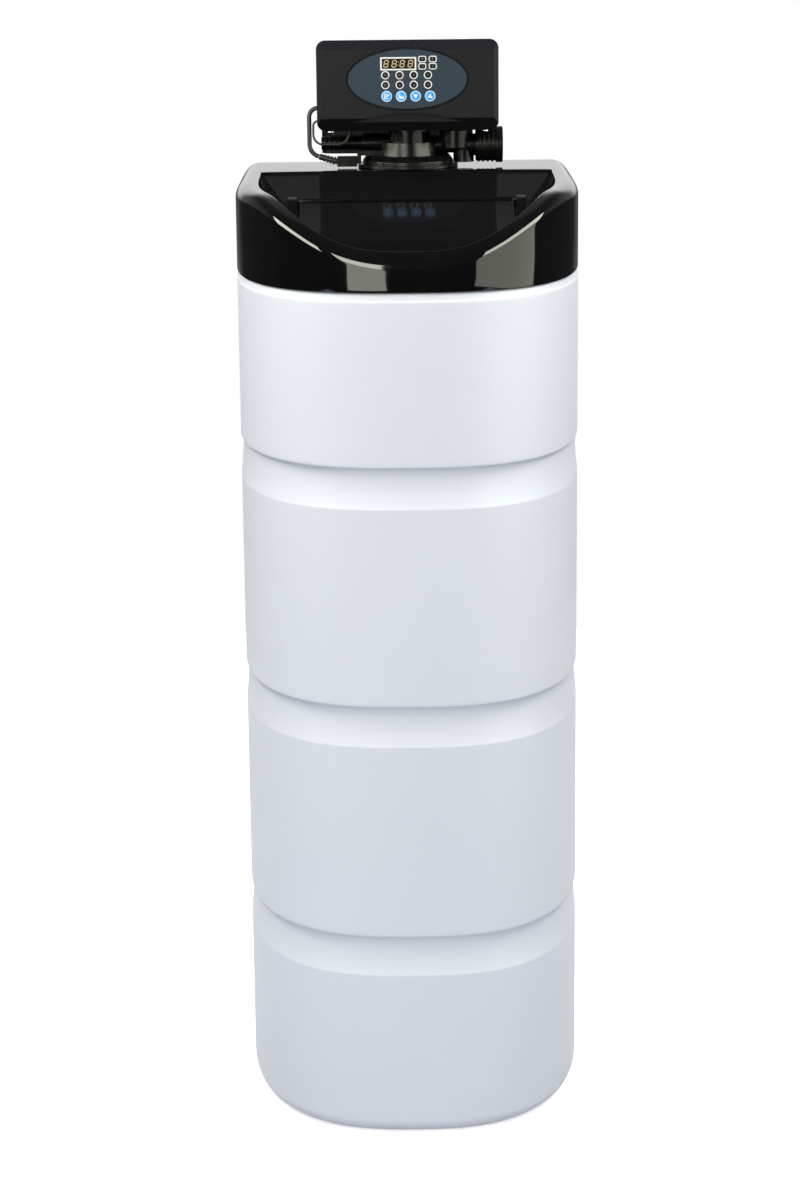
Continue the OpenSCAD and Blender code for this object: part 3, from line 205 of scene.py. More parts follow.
# Materials
class Nodes:
    """A principled material whose texture nodes share one object coordinate."""

    def __init__(self, name, color, roughness, **sockets):
        self.material = bpy.data.materials.new(name)
        self.material.use_nodes = True
        self.tree = self.material.node_tree
        self.shader = self.tree.nodes["Principled BSDF"]
        self.shader.inputs["Base Color"].default_value = (*color, 1)
        self.shader.inputs["Roughness"].default_value = roughness
        for socket, value in sockets.items():
            self.shader.inputs[socket.replace("_", " ")].default_value = value
        self.coords = self.tree.nodes.new("ShaderNodeTexCoord")
        self.height = None

    def noise(self, size_mm, detail=3):
        node = self.tree.nodes.new("ShaderNodeTexNoise")
        node.inputs["Scale"].default_value = 1000 / size_mm
        node.inputs["Detail"].default_value = detail
        self.tree.links.new(self.coords.outputs["Object"], node.inputs["Vector"])
        return node.outputs["Fac"]

    def grain(self, size_mm):
        node = self.tree.nodes.new("ShaderNodeTexVoronoi")
        node.feature = "SMOOTH_F1"
        node.inputs["Scale"].default_value = 1000 / size_mm
        self.tree.links.new(self.coords.outputs["Object"], node.inputs["Vector"])
        return node.outputs["Distance"]

    def between(self, factor, low, high, socket):
        """Drives a shader socket from one value to another by a texture."""
        node = self.tree.nodes.new("ShaderNodeMapRange")
        node.inputs["From Min"].default_value = 0.3
        node.inputs["From Max"].default_value = 0.7
        node.inputs["To Min"].default_value = low
        node.inputs["To Max"].default_value = high
        self.tree.links.new(factor, node.inputs["Value"])
        self.tree.links.new(node.outputs["Result"], self.shader.inputs[socket])

    def tint(self, factor, low, high):
        """Base colour that wanders between two near colours."""
        node = self.tree.nodes.new("ShaderNodeMix")
        node.data_type = "RGBA"
        node.inputs["A"].default_value = (*low, 1)
        node.inputs["B"].default_value = (*high, 1)
        self.tree.links.new(factor, node.inputs["Factor"])
        self.tree.links.new(node.outputs["Result"], self.shader.inputs["Base Color"])

    def bump(self, factor, depth_mm, strength=1.0):
        node = self.tree.nodes.new("ShaderNodeBump")
        node.inputs["Strength"].default_value = strength
        node.inputs["Distance"].default_value = depth_mm * MM
        self.tree.links.new(factor, node.inputs["Height"])
        if self.height:
            self.tree.links.new(self.height, node.inputs["Normal"])
        self.height = node.outputs["Normal"]
        self.tree.links.new(self.height, self.shader.inputs["Normal"])


def shade(color, factor):
    return tuple(min(1.0, c * factor) for c in color)


def moulded_white():
    color = (0.765, 0.795, 0.820)
    made = Nodes("moulded_white", color, 0.55, Specular_IOR_Level=0.3)
    made.tint(made.noise(70, 2), shade(color, 0.985), shade(color, 1.015))
    made.between(made.noise(9), 0.50, 0.60, "Roughness")
    made.bump(made.noise(55, 2), 0.25, 0.35)
    made.bump(made.noise(0.9, 2), 0.02, 0.5)
    return made.material


def gloss_black():
    color = (0.0045, 0.0042, 0.0042)
    made = Nodes("gloss_black", color, 0.05)
    made.tint(made.noise(40, 2), shade(color, 0.8), shade(color, 1.3))
    made.between(made.noise(14), 0.035, 0.075, "Roughness")
    made.bump(made.noise(45, 1), 0.02, 0.25)
    return made.material


def grain_black():
    color = (0.0080, 0.0078, 0.0105)
    made = Nodes("grain_black", color, 0.52, Specular_IOR_Level=0.09, Coat_Weight=0.12, Coat_Roughness=0.12)
    made.tint(made.noise(3), shade(color, 0.75), shade(color, 1.35))
    made.between(made.noise(6), 0.46, 0.58, "Roughness")
    made.bump(made.grain(0.9), 0.05, 0.5)
    return made.material


def satin_black():
    color = (0.0065, 0.0063, 0.0063)
    made = Nodes("satin_black", color, 0.26, Specular_IOR_Level=0.2)
    made.tint(made.noise(12), shade(color, 0.7), shade(color, 1.4))
    made.between(made.noise(7), 0.20, 0.32, "Roughness")
    made.bump(made.noise(1.4), 0.02, 0.2)
    return made.material


def rubber_black():
    color = (0.012, 0.012, 0.012)
    made = Nodes("rubber_black", color, 0.5)
    made.tint(made.noise(5), shade(color, 0.7), shade(color, 1.5))
    made.between(made.noise(3), 0.42, 0.58, "Roughness")
    made.bump(made.noise(0.8), 0.04, 0.5)
    return made.material


def plain(name, color, roughness, spread=0.12, grain_mm=4.0, depth_mm=0.02, **sockets):
    """Moulded or machined material with a little colour wander, uneven gloss and a fine surface."""
    made = Nodes(name, color, roughness, **sockets)
    made.tint(made.noise(grain_mm * 5, 2), shade(color, 1 - spread), shade(color, 1 + spread))
    made.between(made.noise(grain_mm * 2), roughness * 0.85, min(1, roughness * 1.2), "Roughness")
    made.bump(made.noise(grain_mm / 4), depth_mm, 0.4)
    return made.material


white_plastic = moulded_white()
black_gloss = gloss_black()
black_grain = grain_black()
black_satin = satin_black()
black_rubber = rubber_black()
panel_grey = plain("panel_grey", (0.027, 0.044, 0.061), 0.42, 0.05, 1.6, 0.01, Specular_IOR_Level=0.1)
print_white = plain("print_white", (0.80, 0.79, 0.74), 0.5, 0.04)
print_cream = plain("print_cream", (0.56, 0.46, 0.27), 0.5, 0.04)
window_brown = plain("window_brown", (0.030, 0.014, 0.007), 0.12, 0.1)
lamp_black = plain("lamp_black", (0.006, 0.006, 0.006), 0.2, 0.2)
lamp_core = plain("lamp_core", (0.035, 0.037, 0.036), 0.3, 0.2)
button_blue = plain("button_blue", (0.0, 0.38, 0.90), 0.3, 0.06, 3.0, 0.01)
button_ring = plain("button_ring", (0.66, 0.78, 0.84), 0.35, 0.05)
steel = plain("zinc_steel", (0.60, 0.61, 0.62), 0.3, 0.1, 3.0, 0.02, Metallic=1.0)
pin_dark = plain("pin_dark", (0.05, 0.05, 0.05), 0.35, 0.1, 3.0, 0.02, Metallic=1.0)
vessel_grey = plain("vessel_grey", (0.34, 0.36, 0.38), 0.4, 0.15, 9.0, 0.1)
resin_amber = plain("resin_amber", (0.55, 0.26, 0.05), 0.5, 0.3, 1.5, 0.3)
ceramic_white = plain("ceramic_white", (0.80, 0.80, 0.77), 0.15, 0.04)
gear_ivory = plain("gear_ivory", (0.80, 0.77, 0.68), 0.4, 0.06)
board_green = plain("board_green", (0.010, 0.10, 0.035), 0.35, 0.2)
inner_blue = plain("inner_blue", (0.02, 0.16, 0.45), 0.4, 0.1)
inner_white = plain("inner_white", (0.74, 0.75, 0.76), 0.45, 0.05)

by_slot = {
    "white_shell": white_plastic, "black_gloss": black_gloss, "black_satin": black_satin,
    "black_rubber": black_rubber, "panel_grey": panel_grey, "window": window_brown, "lamp": lamp_black,
    "button_blue": button_blue, "steel": steel, "vessel_grey": vessel_grey, "resin": resin_amber,
    "ceramic": ceramic_white, "gear_plastic": gear_ivory, "board": board_green, "blue_inner": inner_blue,
    "white_inner": inner_white}
for subpart in frame["record"]["subparts"]:
    holder = nodes[subpart["node"]]
    holder.data.materials.clear()
    holder.data.materials.append(by_slot[subpart["material_slot"]])
nodes["flap_hinge_pins"].data.materials[0] = pin_dark


# Leads: round bends and straight runs, from the head's side to the boot and to the tray under the head
HEAD_LEFT = AXIS_X - HEAD_HALF_W
BOOT_TILT, BOOT_L = math.radians(16), 19.2
BOOT_AT = np.array([-70.0, 85.0, 915.5])
SENSOR_D, SENSOR_BEND, SIGNAL_D, SIGNAL_BEND = 4.5, 9.2, 2.2, 4.8
LOOP_LEFT_BEND, LOOP_RIGHT_BEND, LOOP_Z = 10.0, 12.0, HEAD_Z - 15.5
LOOP_OUT, LOOP_Y, LOOP_UP, SENSOR_UP, SIGNAL_UP = 59.0, 70.0, 0.6, 20.0, 8.0
boot_tip = BOOT_AT + BOOT_L * np.array([-math.cos(BOOT_TILT), 0, math.sin(BOOT_TILT)])
sensor_exit = np.array([HEAD_LEFT, BOOT_AT[1], HEAD_Z + SENSOR_UP])
loop_end = np.array([AXIS_X - LOOP_OUT, LOOP_Y, HEAD_Z + LOOP_UP])
signal_exit = np.array([HEAD_LEFT, loop_end[1], HEAD_Z + SIGNAL_UP])


def bend(centre, radius, start, end):
    """Points on a round bend in the front view, from one angle to another."""
    turn = np.linspace(start, end, 10)
    return np.asarray(centre) + radius * np.stack([np.cos(turn), 0 * turn, np.sin(turn)], axis=1)


def lead(name, route, diameter, node):
    route = route * MM
    data = bpy.data.curves.new(name, "CURVE")
    data.dimensions = "3D"
    spline = data.splines.new("POLY")
    spline.points.add(len(route) - 1)
    for point, place_at in zip(spline.points, route):
        point.co = (*place_at, 1)
    data.bevel_depth = diameter * MM / 2
    data.bevel_resolution = 4
    data.use_fill_caps = True
    obj = bpy.data.objects.new(name, data)
    scene.collection.objects.link(obj)
    place(obj, "cabinet", black_rubber, node, slot="black_rubber")


UP, LEFT, DOWN, RIGHT = math.pi / 2, math.pi, 1.5 * math.pi, 2 * math.pi
boot_bend = (boot_tip[0] - HEAD_LEFT + SENSOR_BEND) / (1 - math.sin(BOOT_TILT))
boot_centre = boot_tip + boot_bend * np.array([math.sin(BOOT_TILT), 0, math.cos(BOOT_TILT)])
sensor_route = np.vstack([bend(sensor_exit - [0, 0, SENSOR_BEND], SENSOR_BEND, UP, LEFT),
                          bend(boot_centre, boot_bend, LEFT, DOWN - BOOT_TILT)])
loop_left = (HEAD_LEFT - SIGNAL_BEND + LOOP_LEFT_BEND, loop_end[1], LOOP_Z + LOOP_LEFT_BEND)
loop_right = (loop_end[0] - LOOP_RIGHT_BEND, loop_end[1], LOOP_Z + LOOP_RIGHT_BEND)
signal_route = np.vstack([bend(signal_exit - [0, 0, SIGNAL_BEND], SIGNAL_BEND, UP, LEFT),
                          bend(loop_left, LOOP_LEFT_BEND, LEFT, DOWN),
                          bend(loop_right, LOOP_RIGHT_BEND, DOWN, RIGHT), [loop_end]])
lead("sensor_cable", sensor_route, SENSOR_D, "sensor_lead")
lead("signal_cable", signal_route, SIGNAL_D, "signal_lead")


# Plan outlines, each of two half superellipses
RING = 320
TURN = np.linspace(0, 2 * math.pi, RING, endpoint=False)


def lobe(half_width, front, back, front_round, back_round):
    c, s = np.cos(TURN), np.sin(TURN)
    n = np.where(s < 0, front_round, back_round)
    reach = (np.abs(c) ** n + np.abs(s) ** n) ** (-1 / n)
    return np.stack([reach * half_width * c, reach * np.where(s < 0, front, back) * s], axis=1)


def plan(inset_x, inset_y):
    """The cabinet's outline moved inwards, by one distance all round or by one for each point."""
    return lobe(CAB_W / 2 - inset_x, CAB_D / 2 - inset_y, CAB_D / 2 - inset_y, FRONT_ROUND, BACK_ROUND)


def ring_at(flat, heights):
    return np.column_stack([flat, np.broadcast_to(heights, len(flat))])


def level(inset_x, inset_y, z):
    return ring_at(plan(inset_x, inset_y), z)


# Cabinet
def groove_rings(top):
    ramp = [(1 - (1 - s) ** 2, top - GROOVE_H + s * (GROOVE_H - 1.6))
            for s in (0, 0.015, 0.04, 0.08, 0.14, 0.22, 0.32, 0.44, 0.58, 0.74, 0.9, 1)]
    rings = [level(0, 0, top - GROOVE_H - 6), level(0, 0, top - GROOVE_H - 1.2)]
    rings += [level(GROOVE_SIDE * f, GROOVE_FRONT * f, z) for f, z in ramp]
    rings += [level(GROOVE_SIDE * 0.93, GROOVE_FRONT * 0.95, top - 1.15)]
    rings += [level(i, i, top + z) for i, z in ((1.1, -0.85), (0.5, -0.6), (0.15, -0.15), (0, 0.5), (0, 4))]
    return rings


def groove_backs(top):
    return [level(WALL, WALL, top + WALL), level(WALL + GROOVE_SIDE, WALL + GROOVE_FRONT, top - WALL),
            level(WALL + GROOVE_SIDE * 0.6, WALL + GROOVE_FRONT * 0.6, top - GROOVE_H * 0.65),
            level(WALL, WALL, top - GROOVE_H - WALL)]


def cabinet():
    rings = []
    for a in np.radians(np.linspace(0, 90, 10)):
        inset = FOOT_R * (1 - math.sin(a))
        rings.append(level(inset, inset, FOOT_R * (1 - math.cos(a))))
    for top in GROOVE_TOPS:
        rings += groove_rings(top)
    rings += [level(0, 0, RIM_Z - SHOULDER_H - 3), level(0, 0, RIM_Z - SHOULDER_H - 0.5)]
    rings += [level(i, i, RIM_Z - SHOULDER_H + z)
              for i, z in ((0.15, 0.1), (0.5, 0.5), (0.8, 2.5), (1.25, 6), (1.7, 7.4), (2.5, 8))]
    rings += [level(BEAD_IN, BEAD_IN, RIM_Z), level(BEAD_IN, BEAD_IN, RIM_Z - BEAD_H),
              level(WALL, WALL, RIM_Z - BEAD_H - WALL)]
    for top in reversed(GROOVE_TOPS):
        rings += groove_backs(top)
    rings += [level(WALL, WALL, FLOOR_T + FOOT_R), level(WALL + FOOT_R, WALL + FOOT_R, FLOOR_T)]
    return loft("cabinet_body", rings, angle=50)


place(cabinet(), "cabinet", white_plastic, "cabinet_shell", slot="white_shell")

# Top cover: outer wall, rolled rim, mouth, shelf and underside in one skin
roll_y, roll_back_y = ROLL_LEN - CAB_D / 2, AXIS_Y + ADAPTER_R


def top_z(y):
    y = np.asarray(y, float)
    past = np.clip(np.maximum(roll_y - y, y - roll_back_y), 0, ROLL_R)
    return DECK_Z - (ROLL_R - np.sqrt(ROLL_R ** 2 - past ** 2))


def edge_radius():
    frontness = np.minimum(1, (plan(0, 0)[:, 1] + CAB_D / 2) / EDGE_BLEND)
    return EDGE_FRONT_R + (EDGE_BACK_R - EDGE_FRONT_R) * frontness


def edge_ring(a):
    radius = edge_radius()
    inset = radius * (1 - math.cos(a))
    flat = plan(inset, inset)
    return ring_at(flat, top_z(flat[:, 1]) - radius * (1 - math.sin(a)))


def mouth_ring(grow, drop):
    y0 = MOUTH_BACK_Y - MOUTH_CORNER
    flat = lobe(MOUTH_W / 2 + grow, y0 + CAB_D / 2 - RIM_BAND + grow, MOUTH_CORNER + grow, MOUTH_ROUND, 4)
    flat = flat + [0, y0]
    return ring_at(flat, top_z(flat[:, 1]) - drop)


crease_z = DECK_Z - CREASE_DROP
flap_front_y = FLAP_FRONT_IN - CAB_D / 2
hollow_y = CREASE_Y - HOLLOW_SHARE * (CREASE_Y - flap_front_y)
hollow_z = crease_z + math.sqrt(FLAP_R ** 2 - (CREASE_Y - hollow_y) ** 2)


def hollow_at(y, deeper):
    return hollow_z - np.sqrt((FLAP_R + deeper) ** 2 - (np.asarray(y, float) - hollow_y) ** 2)


def flap_ring(side, front, back, drop):
    flat = lobe(FLAP_W / 2 + side, CREASE_Y - flap_front_y + front, FLAP_BACK + back, FLAP_ROUND, 8)
    flat = flat + [0, CREASE_Y]
    return ring_at(flat, hollow_at(flat[:, 1], FLAP_T + LEDGE_GAP) - drop)


def deck_ring(insets, share, drop):
    """Ring over the rolled back, from the edge's own inset at share 1 to the flat deck at share 0."""
    inset = insets + DECK_IN * (1 - share)
    flat = plan(inset, inset)
    flat[:, 1] -= (1 - share) * np.maximum(flat[:, 1] - roll_back_y, 0)
    return ring_at(flat, top_z(flat[:, 1]) - drop)


def top_cover():
    skirt_in = BEAD_IN + SKIRT_GAP
    radius = edge_radius()
    inner_edge = plan(COVER_WALL, COVER_WALL)
    rings = [level(0.7, 0.7, RIM_Z), level(0.2, 0.2, RIM_Z + 0.2), level(0, 0, RIM_Z + 0.9)]
    wall_top = edge_ring(0)
    rings += [level(0, 0, RIM_Z + 0.9) * (1 - f) + wall_top * f for f in (0.5, 0.95)]
    rings += [edge_ring(a) for a in np.radians(np.linspace(0, 90, 13))]
    rings += [deck_ring(radius, s, 0) for s in np.linspace(0.92, 0, 12)]
    rings += [deck_ring(radius, 0, 0) * (1 - f) + mouth_ring(MOUTH_LIP, 0) * f for f in (0.1, 0.5, 0.9)]
    rings += [mouth_ring(MOUTH_LIP * (1 - math.sin(b)), MOUTH_LIP * (1 - math.cos(b)))
              for b in np.radians(np.linspace(0, 80, 8))]
    lip, foot = mouth_ring(0, MOUTH_LIP), flap_ring(SHELF_W, FLAP_GAP, 0, 0)
    rings += [lip * (1 - f) + foot * f for f in np.linspace(0.06, 0.97, 9)]
    inner = flap_ring(FLAP_SIDE_GAP, -LEDGE_W, -1, 0)
    rings += [foot * 0.98 + inner * 0.02, inner, flap_ring(FLAP_SIDE_GAP, -LEDGE_W, -1, COVER_WALL),
              flap_ring(SHELF_W + COVER_WALL, FLAP_GAP + COVER_WALL, COVER_WALL, COVER_WALL),
              mouth_ring(COVER_WALL, COVER_WALL)]
    rings += [deck_ring(radius * UNDER_SCALE - UNDER_LESS, s, COVER_WALL) for s in np.linspace(0, 1, 8)]
    rings += [ring_at(inner_edge, top_z(inner_edge[:, 1]) - COVER_WALL - radius * INNER_EDGE),
              level(COVER_WALL, COVER_WALL, RIM_Z + 10),
              level(skirt_in + SKIRT_T, skirt_in + SKIRT_T, RIM_Z + 3),
              level(skirt_in + SKIRT_T, skirt_in + SKIRT_T, RIM_Z - SKIRT_H),
              level(skirt_in, skirt_in, RIM_Z - SKIRT_H), level(skirt_in, skirt_in, RIM_Z)]
    cover = loft("cover_hood", rings, loop=True, angle=40)
    neck = lathe("neck_cut", [(0.01, DECK_Z - 20), (NECK_HOLE_R, DECK_Z - 20), (NECK_HOLE_R, DECK_Z + 20),
                              (0.01, DECK_Z + 20)], (AXIS_X, AXIS_Y, 0))
    return smooth(cut(cover, neck), 40)


place(top_cover(), "cabinet", black_gloss, "top_cover", slot="black_gloss")


# Salt flap: an arched plate with rounded edges on a hinge barrel
def flap_outline(inset):
    half = np.linspace(math.pi, 2 * math.pi, 161)
    a, front = FLAP_W / 2 - inset, CREASE_Y - flap_front_y - inset
    reach = (np.abs(np.cos(half)) ** FLAP_ROUND + np.abs(np.sin(half)) ** FLAP_ROUND) ** (-1 / FLAP_ROUND)
    curved = np.stack([reach * a * np.cos(half), reach * front * np.sin(half) + CREASE_Y - inset], axis=1)
    back = np.stack([np.linspace(a, -a, 41)[1:-1], np.full(39, CREASE_Y - inset)], axis=1)
    return np.vstack([curved, back])


def flap_level(inset, deeper, scale=1.0):
    flat = flap_outline(inset)
    middle = np.array([0, (CREASE_Y + flap_front_y) / 2])
    flat = middle + (flat - middle) * scale
    return ring_at(flat, hollow_at(flat[:, 1], deeper))


def salt_flap():
    scales = np.concatenate([[0.02], np.linspace(0.08, 0.96, 23)])
    rings = [flap_level(1.0, 0, s) for s in scales]
    rings += [flap_level(i, d) for i, d in ((1.0, 0), (0.5, 0.13), (0.13, 0.5), (0, 1.0), (0, 3.0),
                                            (0.13, 3.5), (0.5, 3.87), (1.0, FLAP_T))]
    rings += [flap_level(1.0, FLAP_T, s) for s in reversed(scales)]
    plate = loft("flap_plate", rings, angle=40)
    end_r, end_x = BARREL_R - BARREL_EDGE, BARREL_X - BARREL_EDGE
    barrel = lathe("flap_barrel", [(BARREL_BORE_R, -BARREL_X), (end_r, -BARREL_X), (BARREL_R, -end_x),
                                   (BARREL_R, end_x), (end_r, BARREL_X), (BARREL_BORE_R, BARREL_X)],
                   (0, CREASE_Y - HINGE_FORWARD, crease_z - HINGE_DOWN), axis="X", steps=40)
    return smooth(join("flap_panel", [plate, barrel]), 40)


place(salt_flap(), "flap", black_gloss, "salt_flap", slot="black_gloss")
place(bevelled("hinge_ears", "hinge_ear_pair", 0.8), "cabinet", black_gloss, "hinge_ears", slot="black_gloss")

# Control head and its tray
place(bevelled("head_cover", "head_casing", 1.2), "cabinet", black_grain, "head_cover", slot="black_satin")
place(bevelled("head_base", "head_tray", 0.5), "cabinet", black_satin, "head_base", slot="black_satin")

# Valve under the head
for node, width in (("tank_adapter", 0.6), ("valve_body", 0.5), ("outlet_stub", 0.4), ("inlet_stub", 0.4),
                    ("drain_stub", 0.4), ("sensor_plug", 0.8), ("brine_fitting", 0.3)):
    place(bevelled(node, node + "_rounded", width), "cabinet", nodes[node].data.materials[0], node)


# Panel: flat pieces drawn in the panel's own plane and set on its face
PANEL_SUNK, PANEL_SEAT, PRINT_PROUD = 0.3, 2.5, 0.05
PANEL_Y, PANEL_BACK = HEAD_Y + PANEL_SUNK, HEAD_Y + PANEL_SEAT
PRINT_Y = PANEL_Y - PRINT_PROUD


def extruded(name, loops, front_y, back_y, edge=0.0):
    """Flat piece from closed outlines about the panel's middle, where inner outlines are holes."""
    data = bpy.data.curves.new(name, "CURVE")
    data.dimensions = "2D"
    data.fill_mode = "BOTH"
    data.extrude = (back_y - front_y) / 2 - edge
    data.bevel_depth = edge
    data.bevel_resolution = 2
    data.offset = -edge
    for outline in loops:
        spline = data.splines.new("POLY")
        spline.points.add(len(outline) - 1)
        spline.use_cyclic_u = True
        for point, (x, z) in zip(spline.points, outline):
            point.co = (x, z, 0, 1)
    holder = bpy.data.objects.new(name + "_outline", data)
    scene.collection.objects.link(holder)
    graph = bpy.context.evaluated_depsgraph_get()
    mesh = bpy.data.meshes.new_from_object(holder.evaluated_get(graph))
    bpy.data.objects.remove(holder)
    middle = (front_y + back_y) / 2
    for v in mesh.vertices:
        x, z, y = v.co
        v.co = Vector((AXIS_X + x, middle - y, PANEL_Z + z)) * MM
    mesh.name = name
    obj = bpy.data.objects.new(name, mesh)
    scene.collection.objects.link(obj)
    return smooth(obj, 40)


def oval(a, b, at=(0, 0), steps=96):
    turn = np.linspace(0, 2 * math.pi, steps, endpoint=False)
    return np.stack([at[0] + a * np.cos(turn), at[1] + b * np.sin(turn)], axis=1)


def rounded_box(w, h, r, at=(0, 0), steps=6):
    points = []
    for cx, cy, start in ((1, 1, 0), (-1, 1, 90), (-1, -1, 180), (1, -1, 270)):
        for a in np.radians(np.linspace(start, start + 90, steps)):
            points.append((at[0] + cx * (w / 2 - r) + r * math.cos(a),
                           at[1] + cy * (h / 2 - r) + r * math.sin(a)))
    return np.array(points)


PANEL_A, PANEL_B = 59, 29
DISPLAY_AT, PANE_SIZE, FRAME_OUT, FRAME_IN = (-9.0, 15.5), (32.6, 9.9), (35.7, 12.9), (32.1, 9.4)
LAMP_XS, LAMP_ZS = (-22.0, -7.8, 6.2, 20.3), (4.4, -5.2)
LAMP_R, CORE_R, RING_IN_R, RING_OUT_R = 3.05, 1.0, 3.1, 4.1
MARK_XS, MARK_ZS = (14.8, 25.2), (19.8, 12.8)
MARK_SIZE, MARK_IN, MARK_OUT = (5.9, 4.3), (6.0, 4.4), (7.8, 6.3)
BUTTON_FIRST_X, BUTTON_STEP = -20.8, 14.4
BUTTON_XS = tuple(BUTTON_FIRST_X + BUTTON_STEP * i for i in range(4))
BUTTON_Z, BUTTON_R, BUTTON_PLAY, BUTTON_PROUD = -16.4, 5.4, 0.08, 0.6

lamp_places = [(x, z) for z in LAMP_ZS for x in LAMP_XS]
mark_places = [(x, z) for z in MARK_ZS for x in MARK_XS]
hole_r = BUTTON_R + BUTTON_PLAY
button_holes = [oval(hole_r, hole_r, (x, BUTTON_Z), 48) for x in BUTTON_XS]
fascia = extruded("fascia", [oval(PANEL_A, PANEL_B, steps=160), *button_holes], PANEL_Y, PANEL_BACK, 0.35)
place(fascia, "cabinet", panel_grey, "control_panel", slot="panel_grey")

pane = extruded("display_pane", [rounded_box(*PANE_SIZE, 0.5, DISPLAY_AT)], PANEL_Y - 0.12, PANEL_BACK, 0.05)
place(pane, "cabinet", window_brown, "display_window", slot="window")
frame_loops = [rounded_box(*FRAME_OUT, 0.5, DISPLAY_AT), rounded_box(*FRAME_IN, 0.3, DISPLAY_AT)]
place(extruded("display_frame", frame_loops, PRINT_Y, PANEL_Y + 0.3), "cabinet", print_white)

# Seven-segment figures, slanted, with a colon between the pairs
DIGIT_W, DIGIT_H, STROKE, SLANT, DIGIT_STEP, SEGMENT_GAP = 4.8, 7.2, 0.85, 0.16, 8.0, 0.16


def bar(x0, z0, x1, z1):
    """Segment with pointed ends from one corner to another."""
    along = np.array([x1 - x0, z1 - z0])
    size = np.linalg.norm(along)
    u = along / size
    v = np.array([-u[1], u[0]]) * STROKE / 2
    tip = u * STROKE / 2
    a, b = np.array([x0, z0]) + u * SEGMENT_GAP, np.array([x1, z1]) - u * SEGMENT_GAP
    return np.array([a, a + tip - v, b - tip - v, b, b - tip + v, a + tip + v])


def figure_loops(cx, cz):
    w, h = DIGIT_W / 2 - STROKE / 2, DIGIT_H / 2 - STROKE / 2
    ends = [(-w, h, w, h), (-w, 0, w, 0), (-w, -h, w, -h), (-w, 0, -w, h), (-w, -h, -w, 0), (w, 0, w, h),
            (w, -h, w, 0)]
    loops = []
    for segment in ends:
        outline = bar(*segment)
        outline[:, 0] += outline[:, 1] * SLANT
        loops.append(outline + [cx, cz])
    return loops


figures = []
for step in (-1.5, -0.5, 0.5, 1.5):
    figures += figure_loops(DISPLAY_AT[0] + step * DIGIT_STEP, DISPLAY_AT[1])
figures += [oval(0.45, 0.45, (DISPLAY_AT[0] + dz * SLANT, DISPLAY_AT[1] + dz), 12) for dz in (1.5, -1.5)]
place(extruded("display_figures", figures, PANEL_Y - 0.2, PANEL_Y - 0.1), "cabinet", print_cream)

# Lamps in printed rings
lamp_discs = [oval(LAMP_R, LAMP_R, at, 40) for at in lamp_places]
lamp_discs += [rounded_box(*MARK_SIZE, 1.1, at) for at in mark_places]
place(extruded("lamp_lenses", lamp_discs, PANEL_Y - 0.25, PANEL_BACK, 0.12), "cabinet", lamp_black,
      "indicator_lamps", slot="lamp")
ring_loops = []
for at in lamp_places:
    ring_loops += [oval(RING_OUT_R, RING_OUT_R, at, 48), oval(RING_IN_R, RING_IN_R, at, 48)]
for at in mark_places:
    ring_loops += [rounded_box(*MARK_OUT, 1.9, at), rounded_box(*MARK_IN, 1.2, at)]
place(extruded("lamp_rings", ring_loops, PRINT_Y, PANEL_Y + 0.3), "cabinet", print_white)
cores = [oval(CORE_R, CORE_R, at, 24) for at in lamp_places + mark_places]
place(extruded("lamp_cores", cores, PANEL_Y - 0.3, PANEL_Y), "cabinet", lamp_core)


# Push buttons: a domed cap with a pale rim and a white sign
def triangle(up):
    tip = 2.3 if up else -2.3
    return np.array([(-2.5, -tip * 0.75), (2.5, -tip * 0.75), (0, tip)])


def hook_sign():
    """Upright stem on a broad foot, with a raised right end."""
    stem = np.array([(-2.6, -2.3), (2.6, -2.3), (2.6, 0.3), (1.6, 0.3), (1.6, -0.2), (0.4, -0.2), (0.4, 0.5),
                     (-1.1, 0.5), (-1.1, 2.5), (-2.6, 2.5)])
    return [stem]


def page_sign():
    """Sheet with a pen across it."""
    sheet = np.array([(-2.4, -2.5), (1.6, -2.5), (1.6, -1.6), (-1.4, -1.6), (-1.4, 1.7), (1.0, 1.7),
                      (1.0, 2.6), (-2.4, 2.6)])
    pen = np.array([(-0.7, -0.9), (0.5, -0.7), (2.7, 1.5), (1.7, 2.4), (-0.5, 0.3)])
    return [sheet, pen]


def push_button(name, node, body, at_x, sign_loops):
    face = PANEL_Y - BUTTON_PROUD
    profile = [(0.01, 0), (BUTTON_R - 1.4, 0), (BUTTON_R - 0.7, -0.06), (BUTTON_R - 0.2, -0.22),
               (BUTTON_R, -0.6), (BUTTON_R, -2.8), (BUTTON_R + 1, -2.85), (BUTTON_R + 1, -4.2), (2, -4.2),
               (2, -9.6), (0.01, -9.6)]
    cap = lathe(name, profile, (0, 0, 0), steps=64)
    turned = Matrix.Translation(Vector((AXIS_X + at_x, face, PANEL_Z + BUTTON_Z)) * MM) @ Matrix.Rotation(
        math.pi / 2, 4, "X")
    cap.data.transform(turned)
    smooth(cap, 40)
    place(cap, body, button_blue, node, slot="button_blue")
    place_at = np.array([at_x, BUTTON_Z])
    rim = [oval(BUTTON_R - inset, BUTTON_R - inset, place_at, 64) for inset in (0.15, 1.0)]
    place(extruded(name + "_rim", rim, face - 0.05, face + 0.35, 0.05), body, button_ring)
    signs = [outline + place_at for outline in sign_loops]
    place(extruded(name + "_sign", signs, face - 0.06, face + 0.1), body, print_white)


push_button("key_program", "program_button", "program", BUTTON_XS[0], page_sign())
push_button("key_manual", "manual_button", "manual", BUTTON_XS[1], hook_sign())
push_button("key_down", "down_button", "down", BUTTON_XS[2], [triangle(False)])
push_button("key_up", "up_button", "up", BUTTON_XS[3], [triangle(True)])


# Stage: pale floor, white surroundings, soft boxes
FLOOR_HALF, FLOOR_DOWN, FLOOR_GLOW = 1.7, 0.0005, 0.62


